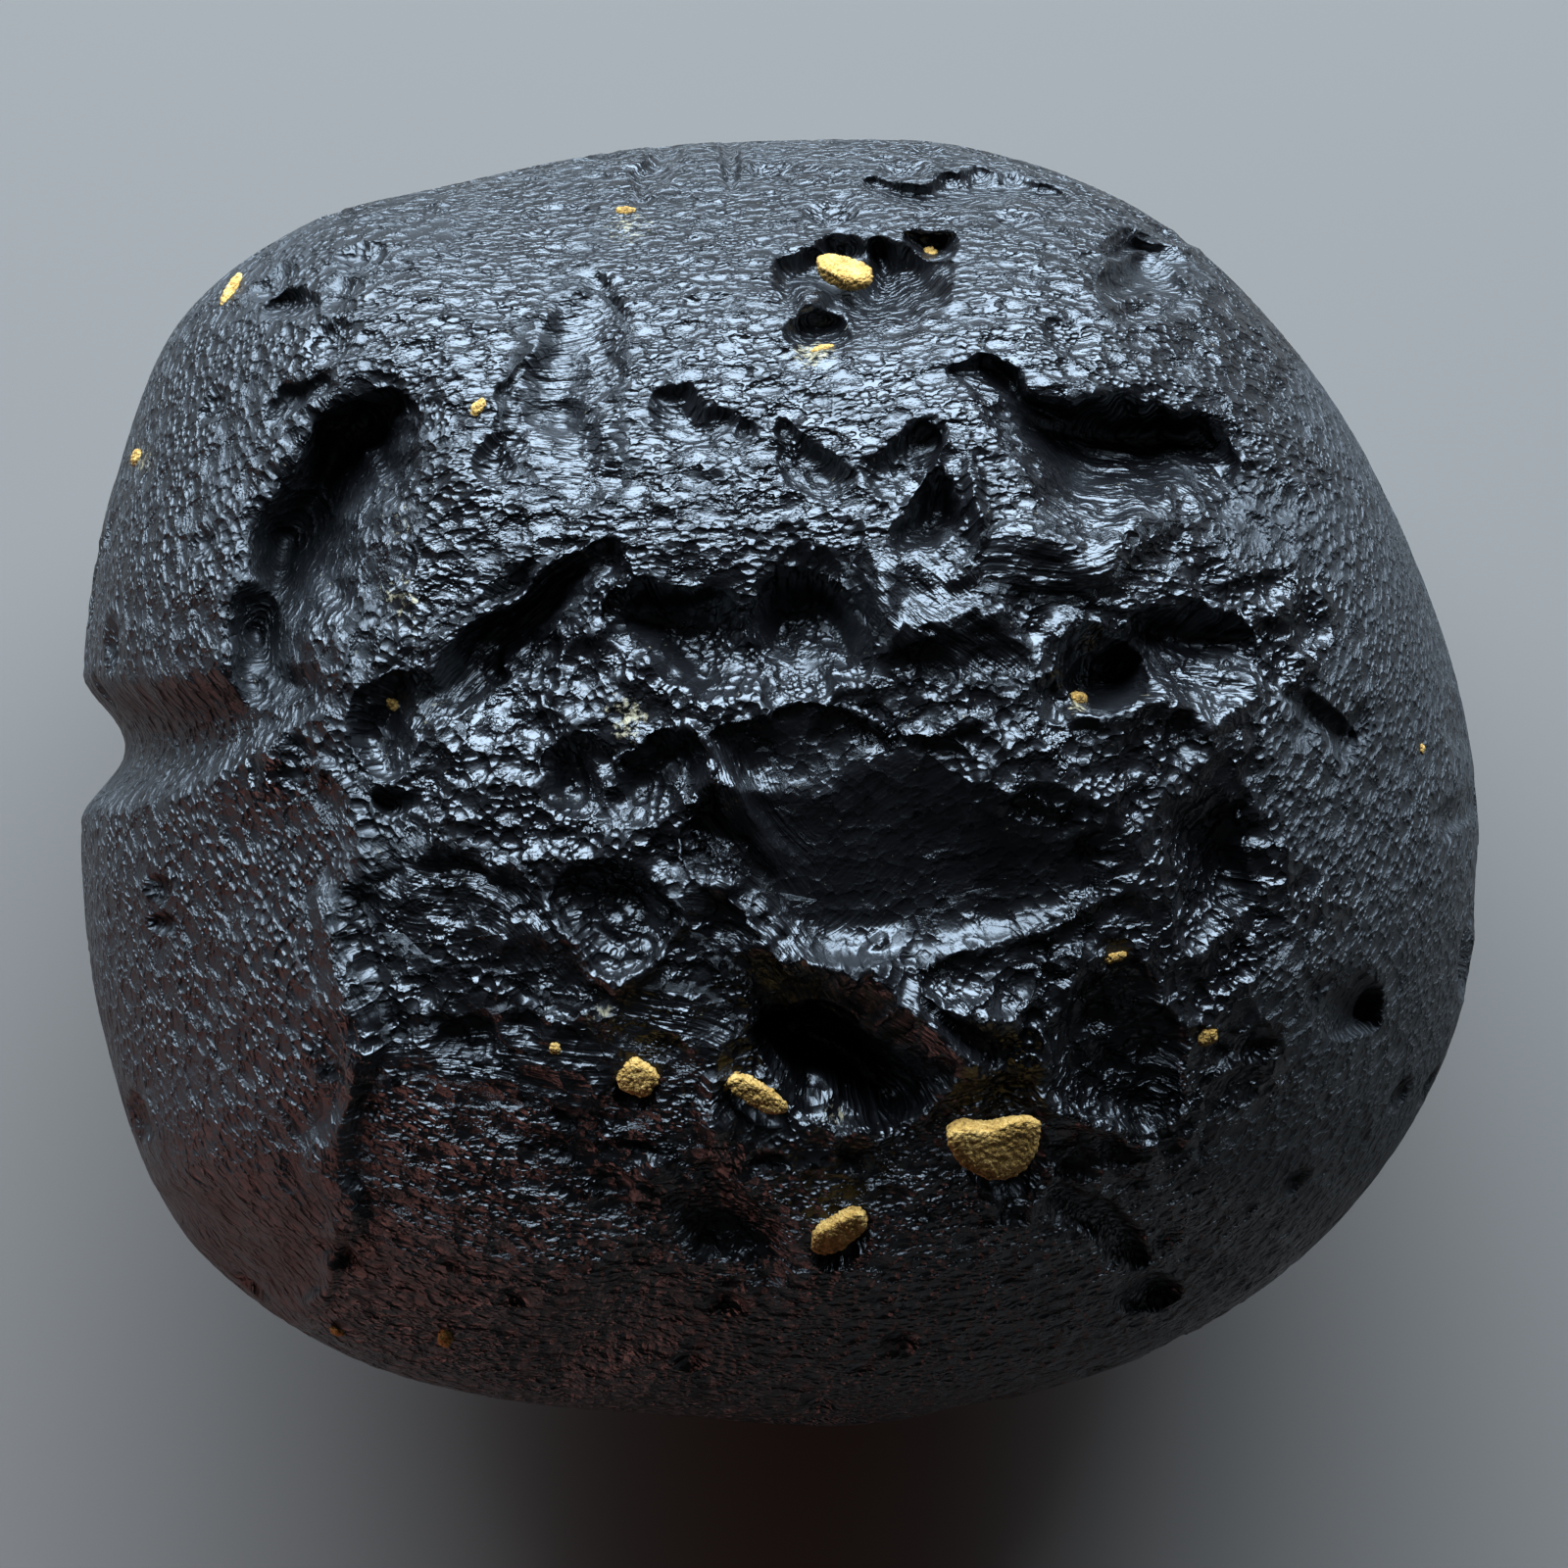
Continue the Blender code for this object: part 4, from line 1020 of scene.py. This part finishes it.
def micro_pits_group():
    floats = dict.fromkeys(("Before", "Cell", "Depth", "Share", "Fray"), "Float")
    tree, given, end = node_group("micro_pits", "ShaderNodeTree", "Float", Place="Vector", **floats)
    away, luck = pit_cells(tree, given["Place"], given["Cell"])
    reach = math_node(tree, "DIVIDE", away, between(tree, luck[0], *MICRO_RADII))
    frayed = math_node(tree, "ADD", reach, given["Fray"])
    bowl = math_node(tree, "SUBTRACT", 1.0, math_node(tree, "POWER", frayed, MICRO_STEEPNESS))
    kept = math_node(tree, "LESS_THAN", luck[1], given["Share"])
    depth = product(tree, bowl, given["Depth"], between(tree, luck[0], *MICRO_DEPTHS), kept)
    tree.links.new(math_node(tree, "MAXIMUM", depth, given["Before"]), end)
    return tree


def flow_group():
    sockets = dict(Lines="Vector", Spacing="Float", Depth="Float")
    tree, given, end = node_group("flow_lines", "ShaderNodeTree", "Float", **sockets)
    density = math_node(tree, "DIVIDE", 1.0, given["Spacing"])
    crest = math_node(tree, "SUBTRACT", noise(tree, given["Lines"], density, 3.0, 0.6), 0.5)
    crest = math_node(tree, "ABSOLUTE", crest)
    tree.links.new(product(tree, crest, -4.0, given["Depth"]), end)
    return tree


MICRO_PITS = micro_pits_group()
FLOW_LINES = flow_group()
print("shader groups:", MICRO_PITS.name, FLOW_LINES.name)

# %% [markdown]
# ## The glass
# Tektite glass is black, because it lets through almost no light, and it shines where it's fresh. The
# material is one Principled shader: nearly all the looks are in its bumps and in how rough it is.

# %% Glass material
GLASS_COLOUR = (0.0025, 0.0022, 0.0025, 1.0)
CRUST_COLOUR = (0.20, 0.16, 0.09, 1.0)
CRUST_CONTRAST = 9.0
CRUST_START = 0.68  # bare glass has crust only where its grain is above this
CRUST_EASE = 0.24  # and a crusted spot where it is this much lower
CRUST_ROUGHNESS = 0.8
LEAST_ROUGHNESS = 0.27
PATCHY_ROUGHNESS = 0.12  # added where the glass is patchy
MATT_ROUGHNESS = 0.28  # added on the flanks
FRAY = 0.9  # how far the edges of pits stray, in parts of their radius
DUST_HEIGHT = 0.011
STREAKS = {"Spacing": 0.6, "Depth": 0.11}

# Scale, detail and roughness of each kind of noise.
FRAY_NOISE = (3.2, 2.5, 0.55)
DUST_NOISE = (10.0, 1.0)
CRUST_NOISE = (4.0, 3.0, 0.7)

MICRO_KINDS = (
    {"Cell": 1.3, "Depth": 0.34, "Share": 0.5},
    {"Cell": 0.8, "Depth": 0.2, "Share": 0.6},
    {"Cell": 0.48, "Depth": 0.16, "Share": 0.8},
    {"Cell": 0.26, "Depth": 0.08, "Share": 0.9},
)


def attribute(tree, name, socket="Fac"):
    return node(tree, "ShaderNodeAttribute", {"attribute_name": name}).outputs[socket]


def new_material(name):
    material = bpy.data.materials.new(name)
    material.use_nodes = True
    shader = material.node_tree.nodes["Principled BSDF"]
    return material, material.node_tree, shader


def group_node(tree, group, **values):
    return node(tree, "ShaderNodeGroup", {"node_tree": group}, **values).outputs[0]


def glass_material():
    material, tree, shader = new_material("natural_glass")
    place = attribute(tree, "sheet", "Vector")
    fray = math_node(tree, "MULTIPLY_ADD", noise(tree, place, *FRAY_NOISE), FRAY, -FRAY / 2)
    dust = product(tree, noise(tree, place, *DUST_NOISE), DUST_HEIGHT)
    depth = 0.0
    for kind in MICRO_KINDS:
        depth = group_node(tree, MICRO_PITS, Place=place, Before=depth, Fray=fray, **kind)
    height = math_node(tree, "SUBTRACT", dust, product(tree, depth, attribute(tree, "pitted")))
    streaks = group_node(tree, FLOW_LINES, Lines=attribute(tree, "lines", "Vector"), **STREAKS)
    height = math_node(tree, "MULTIPLY_ADD", streaks, attribute(tree, "line_amount"), height)
    bump = node(tree, "ShaderNodeBump", Distance=1.0, Height=product(tree, height, MM))
    patchy = attribute(tree, "patchy")
    rough = math_node(tree, "MULTIPLY_ADD", patchy, PATCHY_ROUGHNESS, LEAST_ROUGHNESS)
    rough = math_node(tree, "MULTIPLY_ADD", attribute(tree, "matt"), MATT_ROUGHNESS, rough)
    grains = noise(tree, place, *CRUST_NOISE)
    grainy = math_node(tree, "MULTIPLY_ADD", grains, CRUST_CONTRAST, -CRUST_START * CRUST_CONTRAST)
    crusted = product(tree, attribute(tree, "crust"), CRUST_EASE * CRUST_CONTRAST)
    crusted = node(tree, "ShaderNodeClamp", Value=math_node(tree, "ADD", grainy, crusted)).outputs[0]
    colours = dict(i6=GLASS_COLOUR, i7=CRUST_COLOUR)
    colour = node(tree, "ShaderNodeMix", {"data_type": "RGBA"}, Factor=crusted, **colours).outputs[2]
    rough = node(tree, "ShaderNodeMix", Factor=crusted, i2=rough, i3=CRUST_ROUGHNESS).outputs[0]
    shader.inputs["IOR"].default_value = 1.5
    tree.links.new(colour, shader.inputs["Base Color"])
    tree.links.new(rough, shader.inputs["Roughness"])
    tree.links.new(bump.outputs[0], shader.inputs["Normal"])
    return material


glass.data.materials.clear()
glass.data.materials.append(glass_material())
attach(glass, "root")
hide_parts("tektite")
print("glass material:", len(glass.data.materials[0].node_tree.nodes), "nodes")

# %% [markdown]
# ## Dried soil
# Ochre soil dried in the deeper pits. The five largest lumps are parts of their own in the frame. Each is
# copied from its solid, flattened, pushed into its pit and rounded, and the pit maker gives it crumbs.

# %% Soil lumps
SOIL_STOPS = (
    (0.36, (0.08, 0.038, 0.008)),
    (0.52, (0.32, 0.165, 0.03)),
    (0.72, (0.55, 0.33, 0.10)),
)
SOIL_GRAIN = 0.16  # height of its grains
SOIL_GRAIN_NOISE = (8.0, 3.0, 0.65)
SOIL_PATCH_NOISE = (1.6, 3.0)
SOIL_MIX = (0.6, 0.5)  # how much the grains and the patches change the colour


def soil_material():
    material, tree, shader = new_material("dried_soil")
    in_mm = scaled(tree, node(tree, "ShaderNodeTexCoord").outputs["Object"], 1 / MM)
    grains = noise(tree, in_mm, *SOIL_GRAIN_NOISE)
    patches = product(tree, noise(tree, in_mm, *SOIL_PATCH_NOISE), SOIL_MIX[1])
    mixed = math_node(tree, "MULTIPLY_ADD", grains, SOIL_MIX[0], patches)
    ramp_node = node(tree, "ShaderNodeValToRGB", Fac=mixed)
    stops = ramp_node.color_ramp.elements
    stops[0].position, stops[1].position = SOIL_STOPS[0][0], SOIL_STOPS[2][0]
    stops.new(SOIL_STOPS[1][0])
    for stop, (_, colour) in zip(stops, SOIL_STOPS):
        stop.color = (*colour, 1.0)
    bump = node(tree, "ShaderNodeBump", Distance=1.0, Height=product(tree, grains, SOIL_GRAIN * MM))
    tree.links.new(ramp_node.outputs[0], shader.inputs["Base Color"])
    tree.links.new(bump.outputs[0], shader.inputs["Normal"])
    shader.inputs["Roughness"].default_value = 0.9
    shader.inputs["IOR"].default_value = 1.4
    return material


SOIL = soil_material()
SOIL_SWELL = 1.12  # how much wider than its solid a lump is
SOIL_FLATNESS = 0.3  # how much of a lump's upper half is left
SOIL_SINK = 0.1  # how far a lump is pushed into its pit
SOIL_LEVELS = 3
SAME_PLACE = 0.001  # corners of a solid this near to each other are one
SOIL_CRUMBS = ((0.22, -0.035), (0.12, -0.025))  # cell and depth, which is negative for bumps


def crumbled(obj):
    """Rounds a lump of soil and covers it in crumbs: the pit maker, turned outwards."""
    rounding = obj.modifiers.new("rounding", "SUBSURF")
    rounding.levels = rounding.render_levels = SOIL_LEVELS
    swap_mesh(obj, finished_mesh(obj))
    keep_masks(obj.data, {"crumbs": np.ones(len(obj.data.vertices))})
    keep_vectors(obj.data, "sheet", coordinates(obj.data) / MM, "POINT")
    for cell, depth in SOIL_CRUMBS:
        add_group(obj, PITS, {"Cell": cell, "Depth": depth * MM, "Share": 1.0, "Mask": "crumbs"})
    swap_mesh(obj, finished_mesh(obj))
    obj.data.shade_smooth()
    obj.data.materials.clear()
    obj.data.materials.append(SOIL)
    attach(obj, "root")


def soil_lump(name):
    merged = bmesh.new()
    merged.from_mesh(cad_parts[name].data)
    bmesh.ops.remove_doubles(merged, verts=merged.verts, dist=SAME_PLACE * MM)
    mesh = as_mesh(name + "_skin", merged)
    points = coordinates(mesh)
    middle = points.mean(axis=0)
    outward = middle - (0, 0, WIDEST_Z * MM)
    outward /= np.linalg.norm(outward)
    offset = (points - middle) * SOIL_SWELL
    above = np.clip(offset @ outward, 0, None) * (1 - SOIL_FLATNESS)
    set_coordinates(mesh, middle + offset + np.outer(-SOIL_SINK * MM - above, outward))
    obj = link(name + "_skin", mesh)
    crumbled(obj)
    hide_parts(name)
    return obj


lumps = [soil_lump(name) for name in sorted(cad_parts) if name.startswith("soil_plug")]
print("soil lumps:", len(lumps), "of", len(lumps[0].data.polygons), "faces each")

# %% [markdown]
# Smaller crumbs of soil sit in pits all over the face. Each is a flattened ball set where a ray from above
# meets the finished skin, and all of them are one piece.

# %% Soil specks
Speck = namedtuple("Speck", "x y length width turn")

SPECKS = rows(
    Speck,
    (-1.8, -10.1, 0.9, 0.5, 10),
    (14.4, -8.6, 0.8, 0.7, 20),
    (10.0, 2.9, 0.5, 1.0, -15),
    (-18.8, 16.8, 1.6, 0.5, 40),
    (-22.0, 11.1, 0.6, 0.8, 20),
    (-11.5, -18.8, 0.5, 1.2, 15),
    (-15.2, -18.6, 0.5, 0.6, 0),
    (-7.8, -9.0, 0.4, 0.5, 0),
    (11.3, -5.9, 0.9, 0.4, 0),
    (-13.3, 2.7, 0.7, 0.4, -20),
    (-10.4, 12.8, 0.7, 0.4, 0),
    (1.3, 14.8, 0.8, 0.4, 10),
    (21.7, 1.2, 0.35, 0.35, 0),
    (5.0, 18.1, 0.5, 0.5, 0),
    (-5.4, 19.5, 0.7, 0.4, 0),
)
SPECK_HEIGHT = 0.5  # in widths


def soil_specks():
    faces = [face.vertices for face in glass.data.polygons]
    skin = BVHTree.FromPolygons([point.co for point in glass.data.vertices], faces)
    joined = bmesh.new()
    for speck in SPECKS:
        eye = Vector((0, 0, (WIDEST_Z + EYE_HEIGHT) * MM))
        aim = Vector((speck.x * MM, speck.y * MM, WIDEST_Z * MM))
        spot, facing, _, _ = skin.ray_cast(eye, (aim - eye).normalized())
        tilt = facing.to_track_quat("Z", "Y").to_matrix().to_4x4()
        sides = (speck.length, speck.width, speck.width * SPECK_HEIGHT, 1)
        size = Matrix.Diagonal(sides) @ Matrix.Scale(MM / 2, 4)
        turn = Matrix.Rotation(math.radians(speck.turn), 4, "Z")
        place = Matrix.Translation(spot) @ tilt @ turn @ size
        bmesh.ops.create_icosphere(joined, subdivisions=2, radius=1.0, matrix=place)
    return link("soil_specks", as_mesh("soil_specks", joined))


specks = soil_specks()
crumbled(specks)
print("soil specks:", len(SPECKS), "with", len(specks.data.polygons), "faces")

# %% [markdown]
# ## Floor, light and camera
# The stone lies on a plain pale floor. One broad cool light stands beyond its upper edge, low enough to
# rake across the face, so every pit shows a bright rim and a dark wall. A faint warm light from the lower
# left gives the dark side its reddish sheen.

# %% Floor, light and camera
FLOOR_COLOUR = (0.125, 0.105, 0.088, 1.0)
MIDDLE = Vector((0, 0, WIDEST_Z * MM))
SENSOR_WIDTH = 36.0
FRAME_WIDTH = 0.05333  # metres across the picture, at the widest section
FLOOR_SIZE = 3.0
WORLD_COLOUR = (0.5, 0.55, 0.6, 1.0)
WORLD_STRENGTH = 0.06

Lamp = namedtuple("Lamp", "name place size power colour")

LAMPS = (
    Lamp("key", (-0.01, 0.35, 0.19), (0.6, 0.36), 19.0, (0.62, 0.80, 1.0)),
    Lamp("warm", (-0.054, -0.056, 0.008), (0.09, 0.014), 0.012, (1.0, 0.37, 0.30)),
)


def floor():
    bpy.ops.mesh.primitive_plane_add(size=FLOOR_SIZE, location=(0, 0, 0))
    plane = bpy.context.object
    plane.name = "floor"
    material, tree, shader = new_material("floor")
    shader.inputs["Base Color"].default_value = FLOOR_COLOUR
    shader.inputs["Roughness"].default_value = 0.8
    plane.data.materials.append(material)
    plane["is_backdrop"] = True


def area_light(lamp):
    data = bpy.data.lights.new(lamp.name, "AREA")
    data.shape = "RECTANGLE"
    data.size, data.size_y = lamp.size
    data.energy = lamp.power
    data.color = lamp.colour
    light = bpy.data.objects.new(lamp.name, data)
    light.location = lamp.place
    light.rotation_euler = (MIDDLE - Vector(lamp.place)).to_track_quat("-Z", "Y").to_euler()
    bpy.context.scene.collection.objects.link(light)


def camera():
    data = bpy.data.cameras.new("camera")
    data.sensor_width = SENSOR_WIDTH
    data.lens = SENSOR_WIDTH * EYE_HEIGHT * MM / FRAME_WIDTH
    view = bpy.data.objects.new("camera", data)
    view.location = (0, 0, (EYE_HEIGHT + WIDEST_Z) * MM)
    bpy.context.scene.collection.objects.link(view)
    bpy.context.scene.camera = view


def dim_world():
    world = bpy.data.worlds.new("studio")
    world.use_nodes = True
    background = world.node_tree.nodes["Background"]
    background.inputs["Color"].default_value = WORLD_COLOUR
    background.inputs["Strength"].default_value = WORLD_STRENGTH
    bpy.context.scene.world = world


floor()
for lamp in LAMPS:
    area_light(lamp)
dim_world()
camera()
bpy.context.scene.view_settings.view_transform = "Standard"

# %% [markdown]
# ## Finish
# The last cell prints the size of the visual box.

# %% The visual box
low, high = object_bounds()
print("visual box in mm:", [round(v / MM, 1) for v in (high - low)])
